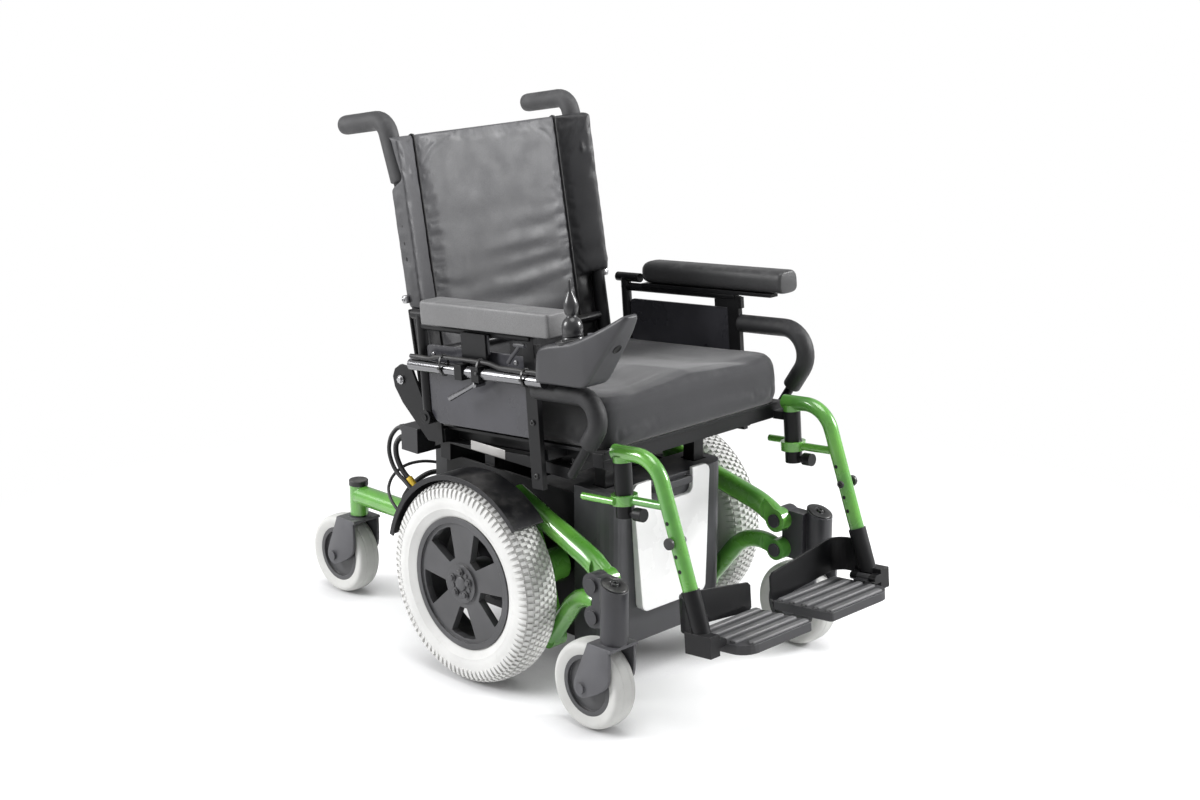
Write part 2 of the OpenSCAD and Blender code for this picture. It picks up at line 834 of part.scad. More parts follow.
module front_panel() {
    r = panel_r;
    color(white) chair() difference() {
        intersection() {
            side_plate(-shroud_x, shroud_x) polygon([[panel_y0, panel_z0], [shroud_y0, panel_z0],
                [shroud_y0, panel_z1], [panel_top_y, panel_z1]]);
            front_plate(panel_y0 - 9, shroud_y0 + 9) polygon(concat(
                arc(-panel_w0 + r, panel_z0 + r, r, 180, 270, 5), arc(panel_w0 - r, panel_z0 + r, r, 270, 360, 5),
                arc(panel_w1 - r, panel_z1 - r, r, 0, 90, 5), arc(-panel_w1 + r, panel_z1 - r, r, 90, 180, 5)));
        }
        front_plate(panel_y0 - 9, shroud_y0 + 9) polygon(concat([[notch_w, panel_z1 + r], [-notch_w, panel_z1 + r]],
            arc(-notch_w + r, notch_z + r, r, 180, 270, 5), arc(notch_w - r, notch_z + r, r, 270, 360, 5)));
    }
}

module drive_motors() {
    color(dark) chair() both() difference() {
        union() {
            xcyl(gear_r, base_x, gear_x1, 0, axle_z);
            ycyl(motor_r, motor_y0 - 20, motor_y1, motor_x, axle_z);
            ycyl(brake_r, motor_y1 - 1, brake_y, motor_x, axle_z);
        }
        xcyl(shaft_r + fit, shaft_bore_end, gear_x1 + 1, 0, axle_z);
    }
}

module fenders() {
    a = 180 - (tab_from + tab_span / 2);
    foot = [strap_r0 * sin(a), axle_z + strap_r0 * cos(a)];
    tip = [(fender_r0 + 2) * sin(a), axle_z + (fender_r0 + 2) * cos(a)];
    color(black) chair() for (k = [0, 1]) mirror([k, 0, 0]) {
        translate([0, 0, axle_z]) rotate([0, 90, 0]) {
            rotate([0, 0, fender_rear]) rotate_extrude(angle = fender_span[k])
                polygon([[fender_r0, fender_x0], [fender_r1, fender_x0], [fender_r1, fender_x1],
                    [fender_r0 - lip, fender_x1], [fender_r0 - lip, fender_x1 - lip_t], [fender_r0, fender_x1 - lip_t]]);
            rotate([0, 0, tab_from]) rotate_extrude(angle = tab_span)
                polygon([[fender_r0 + 0.6, gear_x1 + 0.6], [fender_r1 - 0.6, gear_x1 + 0.6],
                    [fender_r1 - 0.6, fender_x0 + 2], [fender_r0 + 0.6, fender_x0 + 2]]);
        }
        side_plate(gear_x1, gear_x1 + lip) limb(foot, tip, strap_w);
    }
}

module control_module() {
    color(black) chair() {
        box([-ctrl_x, base_y1, ctrl_z0], [ctrl_x, ctrl_y1, ctrl_z1]);
        for (x = plug_x) ycyl(plug_r, ctrl_y1 - 1, ctrl_y1 + plug_len, x, plug_z);
        box(dock[0], dock[1]);
        box(dock_box[0], dock_box[1]);
        for (z = dock_plug_z) ycyl(dock_plug_r, dock_box[1][1] - 1, dock_plug_y, dock_plug_x, z);
    }
}

module wiring_loom() {
    color(rubber) chair() {
        both() cable(loom_pts, loom_r);
        cable(extra_pts, extra_r);
        cable(thin_pts, thin_r);
        cable(trunk_pts, trunk_r);
    }
}

// seat

module seat_frame() {
    color(black) seat() difference() {
        union() {
            box([-half, 0, srail_z1], [half, seat_d, pan_z]);
            box([-half - 2, 2, srail_z0], [half + 2, front_bar + 2, srail_z1 + 1]);
            box([-plate_x0, seat_d - front_bar, srail_z0], [plate_x0, seat_d, srail_z1 + 1]);
            both() {
                box([seat_post_x0, 2, srail_z0], [seat_post_x1, seat_d, srail_z1 + 1]);
                box([hang_x - 12, hang_y, post_top - 15], [hang_x + 12, 4, post_top - 1]);
                zcyl(post_r, post_low, post_top, hang_x, hang_y);
                ycyl(neck_r, knob_y1 - 1, hang_y, hang_x, knob_z);
                ycyl(knob_r, knob_y0, knob_y1, hang_x, knob_z);
                side_plate(plate_x0, plate_x1) polygon([for (p = brk_pts) [seat_d + p[0], p[1]]]);
                xcyl(knob_r - 4, plate_x1 - 1, plate_x1 + 2, seat_d + brk_bolt[0], brk_bolt[1]);
                xcyl(pivot_r, cane_x - cane_r, plate_x0 + 1, pivot_y, pivot_z);
                box([half - 1, hinge_y - lug_y, srail_z0], [plate_x1, hinge_y + lug_y, srail_z1]);
                box([plate_x0, hinge_y - lug_y, srail_z0], [plate_x1, hinge_y + lug_y, hinge_z + lug_y]);
                xcyl(pivot_r, plate_x0, arm_x + arm_r + 2, hinge_y, hinge_z);
                box([half - 1, stop_y0, srail_z1 - 18], [stop_x1, stop_y1, srail_z1]);
                box([seat_post_x1 - 1, stop_y0, srail_z1 - 18], [half, stop_y1, srail_z1]);
            }
        }
        both() zcyl(hang_pin + fit, pin_floor, post_top + 1, hang_x, hang_y);
    }
}

function cush_top(x, y) = cushion_t + 3
    - hollow_depth * exp(-pow((abs(x) - 100) / 58, 2)) * min(1, max(0, (cush_y1 - y) / 260))
    + 5 * exp(-pow(x / 42, 2)) * max(0, (180 - y) / 180)
    - 8 * exp(-pow((y - 290) / 90, 2)) * exp(-pow(x / 150, 2));

module seat_cushion() {
    cy = (cush_y0 + cush_y1) / 2;
    hy = (cush_y1 - cush_y0) / 2;
    hx = half + 1;
    edge = [[0.968, 0], [0.978, 0.07], [0.996, 0.22], [1, 0.5], [0.995, 0.76], [0.978, 0.91]];
    inner = [0.945, 0.87, 0.73, 0.57, 0.41, 0.25, 0.1];
    lift = [0.965, 0.985, 1, 1, 1, 1, 1];
    flat = [for (i = [0 : cush_n - 1]) let (a = 360 * i / cush_n) [soft(cos(a), hx, cush_e), soft(sin(a), hy, cush_e)]];
    color(cloth) seat() translate([0, cy, pan_z]) loft(concat(
        [for (e = edge) [for (p = flat) [p[0] * e[0], p[1] * e[0], cushion_t * e[1]]]],
        [for (k = [0 : len(inner) - 2]) [for (p = flat) let (x = p[0] * inner[k], y = p[1] * inner[k])
            [x, y, cush_top(x, y + cy) * lift[k]]]],
        [[for (p = flat) [p[0] * 0.1, p[1] * 0.1, cush_top(0, cy)]]]));
}

// back

module upper_cane() { head(0, 0, kink_z, 90) turned(kink_r, -kink) children(); }

module handle() { upper_cane() go(upper_len) turned(bend_r, kink - 90) children(); }

module cane_walk() {
    head(0, 0, cane_low, 90) rod(cane_r, kink_z - cane_low, 0, 1);
    head(0, 0, kink_z, 90) turn(cane_r, kink_r, -kink);
    upper_cane() rod(cane_r, upper_len, 1, 1);
    upper_cane() go(upper_len) turn(cane_r, bend_r, kink - 90);
    handle() rod(cane_r, handle_len, 1);
}

module back_canes() {
    color(black) back() difference() {
        union() {
            both() translate([cane_x, 0, 0]) cane_walk();
            xcyl(spread_r, -cane_x, cane_x, 0, spread_z);
        }
        both() xcyl(pivot_r + fit, cane_x - 2 * cane_r, cane_x + 2 * cane_r, 0, 0);
    }
}

module push_grips() {
    color(rubber) back() both() translate([cane_x, 0, 0]) {
        upper_cane() difference() {
            translate([0, 0, grip_from]) rod(grip_r, upper_len - grip_from, 0, 1);
            rod(cane_r + 4 * fit, upper_len, 2, 2);
        }
        upper_cane() go(upper_len) rotate([0, 0, 180]) translate([bend_r, 0, 0]) rotate([90, 0, 180])
            rotate_extrude(angle = 90 - kink) translate([bend_r, 0]) difference() {
                circle(grip_r + fit);
                circle(cane_r + 3 * fit);
            }
        handle() difference() {
            rod(grip_r, handle_len + grip_cap, 1);
            rod(cane_r + 4 * fit, handle_len + fit, 2);
        }
    }
}

function uph_y(x) = abs(x) <= seam_x - 8 ? uph_front + uph_sag * cos(90 * x / seam_x)
    : abs(x) < wedge_x - 1 ? uph_front + groove
    : uph_front - bolster * pow(max(0, min(1, (abs(x) - wedge_x) / (wedge_end - wedge_x))), 0.75);

module back_upholstery() {
    xs = [-wedge_end, -220, -208, -196, -186, -179, -wedge_x, -172, -165, -161, -120, -80, -40, 0];
    line = concat(xs, [for (i = [len(xs) - 2 : -1 : 0]) -xs[i]]);
    low = uph_front - bolster;
    corner = [[uph_x - 2, low + 4], [uph_x, low + 12], [uph_x, -1], [uph_x - 2, 6], [uph_x - 7, 12], [cane_x, 15.5],
        [205, 17], [190, 20], [160, 21], [80, 21]];
    n = len(corner);
    shape = concat([for (x = line) [x, uph_y(x)]], corner,
        [for (i = [n - 1 : -1 : 0]) [-corner[i][0], corner[i][1]]]);
    color(vinyl) back() {
        upright(uph_low, uph_low + roll) flap() soft_edge(0.8) polygon(shape);
        upright(uph_low + roll, bolster_low) flap() polygon(shape);
        upright(bolster_low, kink_z - 9) difference() {
            polygon(shape);
            for (x = [-cane_x, cane_x]) translate([x, 0]) circle(cane_r + fit);
        }
        difference() {
            union() {
                upright(kink_z - 9, uph_top - roll) polygon(shape);
                upright(uph_top - roll, uph_top) soft_edge(0.8) polygon(shape);
            }
            both() translate([cane_x, 0, kink_z]) rotate([-kink, 0, 0])
                box([-grip_r - 1, -grip_r - 1, -4 * grip_r], [3 * grip_r, 4 * grip_r, 2 * upper_len]);
        }
    }
}

module upright(z0, z1) { translate([0, 0, z0]) linear_extrude(height = z1 - z0) children(); }

module soft_edge(k) { translate([0, uph_mid * (1 - k)]) scale([1, k]) children(); }

module flap() {
    intersection() {
        children();
        translate([-flap_x, uph_front + 0.2]) square([2 * flap_x, bolster]);
    }
}

// armrests

function pad_base(s) = (s > 0 ? pad_top : pad_top_right) - pad_t;

module armrest_frame(s) {
    pad_front = pad_rear - (s > 0 ? pad_len : pad_len_right);
    pad_bot = pad_base(s);
    tube_z = pad_bot - strip_t - 6;
    color(black) seat() side(s) difference() {
        union() {
            ycyl(top_r, bar_y0 + 8, hinge_y + 6, arm_x, tube_z);
            ycyl(stub_r, pad_rear + 3, tube_rear, arm_x, pad_bot + stub_up);
            box([arm_x - strip_half, pad_front + 24, tube_z + 4], [arm_x + strip_half, pad_rear - 8, pad_bot]);
            zcyl(arm_r - 0.6, hinge_z, pad_bot + stub_up, arm_x, hinge_y);
            xcyl(eye_out, arm_x - arm_r, arm_x + arm_r, hinge_y, hinge_z);
            box([arm_x - bar_x, bar_y0, bar_low], [arm_x + bar_x, bar_y1, tube_z]);
            box([arm_x - bar_x + 1, bar_y0 - 6, gusset_z0], [arm_x + bar_x - 1, gusset_y1, gusset_z1]);
            if (s < 0) {
                box([-clamp_x1, clamp_y0, jtube_z - clamp_half], [-clamp_x0, clamp_y1, tube_z]);
                box([arm_x, clamp_y0, tube_z - 8], [-clamp_x0, clamp_y1, tube_z]);
                for (y = [clamp_y0, clamp_y1 - 18])
                    box([-clamp_x0 - 1, y, jtube_z - clamp_half], [-jtube_x + clamp_half, y + 18, jtube_z + clamp_half]);
            }
        }
        xcyl(pivot_r + fit, plate_x1, arm_x + 2 * arm_r, hinge_y, hinge_z);
        if (s < 0) ycyl(jtube_r + fit, clamp_y0 - 1, clamp_y1 + 1, -jtube_x, jtube_z);
    }
}

module armrest_pad(s) {
    long = s > 0 ? pad_len : pad_len_right;
    n = 36;
    e = 0.42;
    ends = [[0, 0.8], [2, 0.9], [7, 0.97], [16, 1], [long - 16, 1], [long - 7, 0.97], [long - 2, 0.9], [long, 0.8]];
    shape = [for (i = [0 : n - 1]) let (a = 360 * i / n) [soft(cos(a), pad_w / 2, e),
        sin(a) < 0 ? -soft(-sin(a), pad_t * 0.4, 0.3) : soft(sin(a), pad_t * 0.6, 0.55)]];
    color(rubber) seat() side(s) translate([pad_x, pad_rear, pad_base(s) + pad_t * 0.4]) rotate([90, 0, 0])
        loft([for (k = ends) [for (p = shape) [p[0] * k[1], p[1] < 0 ? p[1] : p[1] * k[1], k[0]]]]);
}

module side_panel(s) {
    r = panel_side_r;
    y1 = panel_side_y1;
    z0 = panel_side_z0;
    z1 = panel_side_z1;
    color(cloth) seat() side(s) side_plate(arm_x - panel_side_t / 2, arm_x + panel_side_t / 2)
        polygon(concat([[bar_y1, z1], [bar_y1, z0]], arc(y1 - r, z0 + r, r, 270, 360, 6),
            arc(y1 - r / 3, z1 - r / 3, r / 3, 0, 90, 3)));
}

module arm_guard(s) {
    z = s > 0 ? guard_z : guard_z_right;
    b = s > 0 ? guard_bend : guard_bend_right;
    l = s > 0 ? guard_len : guard_len_right;
    color(rubber) seat() side(s) translate([arm_x + guard_out, 0, 0]) {
        head(0, bar_y0, z, 180) rod(guard_r, bar_y0 - guard_y, 0, 1);
        head(0, guard_y, z, 180) turn(guard_r, b, guard_turn);
        head(0, guard_y, z, 180) turned(b, guard_turn) rod(guard_r, s > 0 ? sleeve_len : sleeve_len_right, 1);
        head(0, guard_y, z, 180) turned(b, guard_turn) rod(guard_tube_r, l);
    }
}

// joystick

module joystick_tube() {
    color(steel) seat() difference() {
        ycyl(jtube_r, jtube_y0, jtube_y1, jtube_x, jtube_z);
        ycyl(jtube_r - 2, jtube_y1 - 30, jtube_y1 + 1, jtube_x, jtube_z);
    }
}

module joystick_housing() {
    w = joy_w / 2;
    color(dark) seat() translate([joy_x, 0, 0]) difference() {
        intersection() {
            side_plate(-w, w) polygon(joy_side);
            translate([0, 0, joy_bot - 9]) linear_extrude(height = 2 * joy_bot)
                polygon(concat(arc(-w + 9, joy_rear - 9, 9, 180, 90, 4), arc(w - 9, joy_rear - 9, 9, 90, 0, 4),
                    [[w, 0], [w - 1, -40], [w - 4, -80]], arc(joy_nose - 8, joy_front + 10, 10, 0, -90, 4),
                    arc(-joy_nose + 8, joy_front + 10, 10, -90, -180, 4), [[-w + 4, -80], [-w + 1, -40], [-w, 0]]));
        }
        ycyl(jtube_r, jtube_y0, joy_rear + 9, jtube_x - joy_x, jtube_z);
        zcyl(well_r, well_z, 2 * gim_z, 0, gim_y);
        zcyl(dish_joy_r, dish_joy_z, 2 * gim_z, 0, gim_y);
        xcyl(trun_r + fit, -trun_out - gap, trun_out + gap, gim_y, gim_z);
        zcyl(button_r + gap, button_floor, 2 * gim_z, 0, button_y);
    }
}

module joystick_lead() {
    color(rubber) seat() translate([lead_x, 0, 0]) cable(lead_pts, lead_r);
}

module joystick_gimbal() {
    color(steel) seat() translate([joy_x, gim_y, gim_z]) difference() {
        union() {
            zcyl(ring_r, -ring_h, ring_h, 0, 0);
            xcyl(trun_r, -trun_out, trun_out, 0, 0);
        }
        zcyl(ring_in, -2 * ring_h, 2 * ring_h, 0, 0);
        ycyl(trun_r + fit, -2 * ring_r, 2 * ring_r, 0, 0);
    }
}

module joystick_stick() {
    k = knob_d / 2;
    color(black) seat() translate([joy_x, gim_y, gim_z]) {
        zcyl(rod_r, -4, knob_at + 4, 0, 0);
        ycyl(trun_r, -ring_r + 0.5, ring_r - 0.5, 0, 0);
        rotate_extrude() polygon([[rod_r - 1, boot_top - 4], [boot_top_r - boot_t, boot_top - 4], [boot_r - boot_t - 3, boot_z + 10],
            [boot_r - boot_t, boot_z], [boot_r, boot_z], [boot_r - 2, boot_z + 11], [boot_top_r, boot_top],
            [rod_r - 1, boot_top]]);
        rotate_extrude() polygon([[rod_r - 1, knob_at - 4], [k * 0.62, knob_at - 4], [k * 0.9, knob_at + 2],
            [k, knob_at + 9], [k * 0.96, knob_at + 18], [k * 0.78, knob_at + 26], [k * 0.45, knob_at + 32],
            [k * 0.3, knob_at + 37], [k * 0.22, stick_h - 4], [k * 0.12, stick_h], [0, stick_h], [0, knob_at],
            [rod_r - 1, knob_at]]);
    }
}

module power_button() {
    color(pale) seat() zcyl(button_r, button_low, button_top, joy_x, button_y);
}

// legrests

module hanger_walk() {
    head(0, leg_start, 0, 180) rod(leg_r, leg_flat, 0, 1);
    head(0, leg_start, 0, 180) go(leg_flat) turn(leg_r, leg_bend, hanger_bend);
    head(0, leg_start, 0, 180) go(leg_flat) turned(leg_bend, hanger_bend) rod(leg_r, hanger_len, 1);
}

module leg_end() {
    head(0, leg_start, 0, 180) go(leg_flat) turned(leg_bend, hanger_bend) go(hanger_len) children();
}

function leg_y(z) = leg_start - leg_flat - leg_bend * sin(hanger_bend)
    + (z + leg_bend * (1 - cos(hanger_bend))) / tan(hanger_bend);

module hanger(s) {
    color(green) seat() side(s) translate([hang_x, 0, 0]) difference() {
        union() {
            hanger_walk();
            zcyl(hang_pin, pin_low, 0, 0, hang_y);
            zcyl(collar_r, post_top + gap, -4, 0, hang_y);
            ycyl(link_r, leg_y(link_z), hang_y - post_r - 3, 0, link_z);
            difference() {
                union() {
                    zcyl(ring_out, link_z - ring_half, link_z + ring_half, 0, hang_y);
                    ycyl(lever_r, hang_y, hang_y + lever_len, ring_out, link_z);
                }
                zcyl(post_r + ring_gap, link_z - 2 * ring_half, link_z + 2 * ring_half, 0, hang_y);
            }
        }
        leg_end() translate([0, 0, -socket_len]) rod(spigot_r + fit, socket_len + 1);
    }
}

module leg_tube(s) {
    color(black) seat() side(s) translate([hang_x, 0, 0]) {
        difference() {
            leg_end() rod(leg_tube_r, leg_tube_len);
            translate([-hang_x, 0, 0]) ycyl(kn_r + knuckle_room, kn_y[1], kn_y[2], kn_x, kn_z);
        }
        leg_end() translate([0, 0, -spigot_len]) rod(spigot_r, spigot_len + 1);
        translate([-hang_x, 0, 0]) {
            box([blk_x0, blk_y0, blk_z0], [blk_x1, blk_y1, blk_z1]);
            for (i = [0, 2]) {
                ycyl(kn_r, kn_y[i], kn_y[i + 1], kn_x, kn_z);
                box([kn_x, kn_y[i], kn_z - kn_r], [blk_x0 + 1, kn_y[i + 1], kn_z + kn_r]);
            }
            ycyl(kn_pin, kn_y[0], kn_y[3], kn_x, kn_z);
        }
    }
}

module heel_loop(s) {
    b = loop_bend;
    t = loop_t;
    xb = loop_x1 - b;
    color(rubber) seat() side(s) difference() {
        union() {
            translate([0, 0, loop_z0]) linear_extrude(height = loop_z1 - loop_z0)
                polygon(concat([[loop_x1, loop_tie], [loop_x1 - t, loop_tie]],
                    arc(xb, loop_y - b + t, b - t, 0, 90, 6), arc(xb, loop_y - b + t, b, 90, 0, 6)));
            front_plate(loop_y, loop_y + t) polygon([[loop_x0, loop_in_z0 + 6], [loop_x0 + 6, loop_in_z0],
                [xb + 1, loop_z0], [xb + 1, loop_z1], [loop_x0 + 6, loop_in_z1], [loop_x0, loop_in_z1 - 6]]);
        }
        translate([hang_x, 0, 0]) leg_end() translate([0, 0, -collar_r]) rod(leg_tube_r + fit, leg_tube_len + 2 * collar_r);
        box([kn_x - kn_r - 2, blk_y0, blk_z0], [blk_x1, blk_y1 + fit, blk_z1 + fit]);
    }
}

module footplate(s) {
    x0 = plate_x - foot_w;
    r = plate_r;
    pitch = (foot_d - 2 * rib_w) / (ribs - 1);
    color(mid) seat() side(s) difference() {
        union() {
            difference() {
                translate([0, 0, plate_z0]) linear_extrude(height = plate_top - plate_z0)
                    polygon(concat([[plate_x, plate_y1], [x0, plate_y1]], arc(x0 + 6, plate_y0 + 6, 6, 180, 270, 3),
                        arc(plate_x - r, plate_y0 + r, r, 270, 360, 6)));
                translate([0, 0, plate_z0 - 1]) linear_extrude(height = plate_web - plate_z0 + 1)
                    polygon([[plate_x - plate_edge, plate_y1 - plate_edge], [x0 + plate_edge, plate_y1 - plate_edge],
                        [x0 + plate_edge, plate_y0 + plate_edge], [plate_x - r, plate_y0 + plate_edge],
                        [plate_x - plate_edge, plate_y0 + r]]);
            }
            for (i = [0 : ribs - 1])
                box([x0 + 4, plate_y0 + rib_w + i * pitch - rib_w / 2, plate_top - 1],
                    [plate_x - (i == 0 ? 22 : 8), plate_y0 + rib_w + i * pitch + rib_w / 2, rib_top]);
            ycyl(kn_r, kn_y[1] + gap, kn_y[2] - gap, kn_x, kn_z);
            box([plate_x - 6, kn_y[1] + gap, plate_top - 8], [kn_x, kn_y[2] - gap, kn_z - 1]);
        }
        ycyl(kn_pin + fit, kn_y[0], kn_y[3], kn_x, kn_z);
    }
}

base_frame();
batteries();
front_shroud();
front_panel();
drive_motors();
fenders();
control_module();
wiring_loom();
pivot_bushes();
seat_frame();
seat_cushion();
drive_rim(left);  // drive_rim_left
drive_tyre(left);  // drive_tyre_left
drive_rim(right);  // drive_rim_right
drive_tyre(right);  // drive_tyre_right
front_upper_arm(left);  // front_upper_arm_left
front_lower_arm(left);  // front_lower_arm_left
front_housing(left);  // front_housing_left
front_upper_arm(right);  // front_upper_arm_right
front_lower_arm(right);  // front_lower_arm_right
front_housing(right);  // front_housing_right
caster_fork(left, front_x, front_y);  // front_fork_left
caster_hub(left, front_x, -front_reach);  // front_hub_left
caster_tyre(left, front_x, -front_reach);  // front_tyre_left
caster_fork(right, front_x, front_y);  // front_fork_right
caster_hub(right, front_x, -front_reach);  // front_hub_right
caster_tyre(right, front_x, -front_reach);  // front_tyre_right
rear_arm(left);  // rear_arm_left
rear_arm(right);  // rear_arm_right
caster_fork(left, rear_x, rear_y);  // rear_fork_left
caster_hub(left, rear_x, rear_reach);  // rear_hub_left
caster_tyre(left, rear_x, rear_reach);  // rear_tyre_left
caster_fork(right, rear_x, rear_y);  // rear_fork_right
caster_hub(right, rear_x, rear_reach);  // rear_hub_right
caster_tyre(right, rear_x, rear_reach);  // rear_tyre_right
back_canes();
push_grips();
back_upholstery();
armrest_frame(left);  // armrest_frame_left
armrest_pad(left);  // armrest_pad_left
side_panel(left);  // side_panel_left
arm_guard(left);  // arm_guard_left
armrest_frame(right);  // armrest_frame_right
armrest_pad(right);  // armrest_pad_right
side_panel(right);  // side_panel_right
arm_guard(right);  // arm_guard_right
joystick_tube();
joystick_housing();
joystick_lead();
joystick_gimbal();
joystick_stick();
power_button();
hanger(left);  // hanger_left
leg_tube(left);  // leg_tube_left
heel_loop(left);  // heel_loop_left
footplate(left);  // footplate_left
hanger(right);  // hanger_right
leg_tube(right);  // leg_tube_right
heel_loop(right);  // heel_loop_right
footplate(right);  // footplate_right
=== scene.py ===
import math

import bmesh
import bpy
from mathutils import Matrix, Vector


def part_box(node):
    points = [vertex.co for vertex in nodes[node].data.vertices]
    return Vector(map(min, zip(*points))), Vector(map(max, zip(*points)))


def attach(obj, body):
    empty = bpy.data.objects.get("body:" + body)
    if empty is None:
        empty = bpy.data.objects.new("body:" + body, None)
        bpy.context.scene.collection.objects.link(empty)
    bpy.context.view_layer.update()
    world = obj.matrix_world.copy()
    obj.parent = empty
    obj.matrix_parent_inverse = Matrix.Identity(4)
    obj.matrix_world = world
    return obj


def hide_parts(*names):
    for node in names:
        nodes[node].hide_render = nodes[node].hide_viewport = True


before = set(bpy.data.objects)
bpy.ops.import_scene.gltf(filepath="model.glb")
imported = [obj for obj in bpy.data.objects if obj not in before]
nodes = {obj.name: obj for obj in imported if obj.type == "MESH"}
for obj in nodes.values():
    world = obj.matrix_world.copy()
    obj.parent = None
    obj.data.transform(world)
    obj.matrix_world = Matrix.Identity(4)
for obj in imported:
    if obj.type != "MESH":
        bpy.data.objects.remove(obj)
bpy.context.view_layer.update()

MM = 0.001
SIDES = {"left": 1, "right": -1}
SWIVELS = {"front": (0.259, -0.335), "rear": (0.146, 0.452)}
SEAT_AT, SEAT_TILT = (0, -0.275, 0.457), math.radians(-5)
BACK_AT, BACK_LEAN = (0, 0.418, 0.012), math.radians(-5.5)


# places, the same as the part's own: chair, tilted seat, leaning back

def middle(node):
    low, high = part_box(node)
    return (low + high) / 2


axle = middle("drive_rim_left")
wheel_x = middle("drive_tyre_left").x
chair = Matrix.Translation((0, axle.y, 0))
seat = chair @ Matrix.Translation(SEAT_AT) @ Matrix.Rotation(SEAT_TILT, 4, "X")
back = seat @ Matrix.Translation(BACK_AT) @ Matrix.Rotation(BACK_LEAN, 4, "X")
to_seat = seat.inverted()
to_back = back.inverted()


# shader boards

class Board:
    """A node tree with short words for adding and linking nodes."""

    def __init__(self, tree):
        self.tree = tree

    def plug(self, socket, value):
        if isinstance(value, bpy.types.NodeSocket):
            self.tree.links.new(value, socket)
        else:
            socket.default_value = value

    def add(self, kind, settings=None, **sockets):
        made = self.tree.nodes.new(kind)
        for key, value in (settings or {}).items():
            setattr(made, key, value)
        for key, value in sockets.items():
            self.plug(made.inputs[key], value)
        return made

    def fill(self, made, values):
        for place, value in values.items():
            self.plug(made.inputs[place], value)
        return made.outputs

    def math(self, work, a, b=0.0, clamp=False):
        made = self.add("ShaderNodeMath", {"operation": work, "use_clamp": clamp})
        return self.fill(made, {0: a, 1: b})[0]

    def times(self, a, b, clamp=False):
        return self.math("MULTIPLY", a, b, clamp)

    def blend(self, share, a, b):
        return self.fill(self.add("ShaderNodeMix", {"data_type": "RGBA"}), {0: share, 6: a, 7: b})[2]

    def either(self, share, a, b):
        return self.fill(self.add("ShaderNodeMix", {"data_type": "FLOAT"}), {0: share, 2: a, 3: b})[0]

    def ramp(self, value, low, high, out_low=0.0, out_high=1.0):
        made = self.add("ShaderNodeMapRange", {"interpolation_type": "SMOOTHSTEP"})
        return self.fill(made, dict(enumerate((value, low, high, out_low, out_high))))[0]

    def vector(self, work, *values):
        made = self.add("ShaderNodeVectorMath", {"operation": work})
        self.fill(made, dict(enumerate(values)))
        return made

    def place(self):
        return self.add("ShaderNodeTexCoord").outputs["Object"]

    def spot(self):
        return self.add("ShaderNodeSeparateXYZ", Vector=self.place()).outputs

    def facing(self):
        normal = self.add("ShaderNodeNewGeometry").outputs["Normal"]
        return self.add("ShaderNodeSeparateXYZ", Vector=normal).outputs

    def cloud(self, scale, detail, **sockets):
        made = self.add("ShaderNodeTexNoise", Vector=self.place(), Scale=scale, Detail=detail, **sockets)
        return made.outputs[0]

    def use(self, group, **sockets):
        return self.add("ShaderNodeGroup", {"node_tree": bpy.data.node_groups[group]}, **sockets).outputs


def effect(name, inputs, outputs):
    """A shared shader effect with named sockets: its board, its inputs and its outputs."""
    tree = bpy.data.node_groups.new(name, "ShaderNodeTree")
    for label, value in inputs.items():
        socket = tree.interface.new_socket(name=label, in_out="INPUT", socket_type="NodeSocketFloat")
        socket.default_value = value
    for label in outputs:
        kind = "NodeSocketVector" if label == "Normal" else "NodeSocketFloat"
        tree.interface.new_socket(name=label, in_out="OUTPUT", socket_type=kind)
    board = Board(tree)
    return board, board.add("NodeGroupInput").outputs, board.add("NodeGroupOutput").inputs


def worn_edges():
    b, given, out = effect("worn edges", {"Radius": 0.0012, "Wear": 0.6}, ["Edge", "Normal"])
    round_normal = b.add("ShaderNodeBevel", {"samples": 4}, Radius=given["Radius"]).outputs["Normal"]
    flat_normal = b.add("ShaderNodeNewGeometry").outputs["Normal"]
    meet = b.vector("DOT_PRODUCT", round_normal, flat_normal).outputs["Value"]
    edge = b.ramp(meet, 0.995, 0.80)
    chips = b.ramp(b.cloud(170.0, 4.0), 0.36, 0.66)
    b.plug(out["Edge"], b.times(b.times(edge, chips), given["Wear"], True))
    b.plug(out["Normal"], round_normal)


def fine_grain():
    b, given, out = effect("fine grain", {"Scale": 900.0, "Roughness": 0.6}, ["Height", "Tone"])
    b.plug(out["Height"], b.cloud(given["Scale"], 3.0, Roughness=given["Roughness"]))
    b.plug(out["Tone"], b.ramp(b.cloud(14.0, 5.0), 0.3, 0.7))


def pebble_skin():
    b, given, out = effect("pebble skin", {"Scale": 620.0}, ["Height", "Tone"])
    warp = b.add("ShaderNodeTexNoise", Vector=b.place(), Scale=90.0, Detail=2.0)
    shift = b.vector("SCALE", warp.outputs[1])
    b.plug(shift.inputs["Scale"], 0.006)
    where = b.vector("ADD", b.place(), shift.outputs[0]).outputs[0]
    cells = b.add("ShaderNodeTexVoronoi", {"feature": "DISTANCE_TO_EDGE"}, Vector=where, Scale=given["Scale"])
    b.plug(out["Height"], b.ramp(cells.outputs[0], 0.0, 0.22))
    b.plug(out["Tone"], b.ramp(b.cloud(9.0, 6.0), 0.3, 0.72))


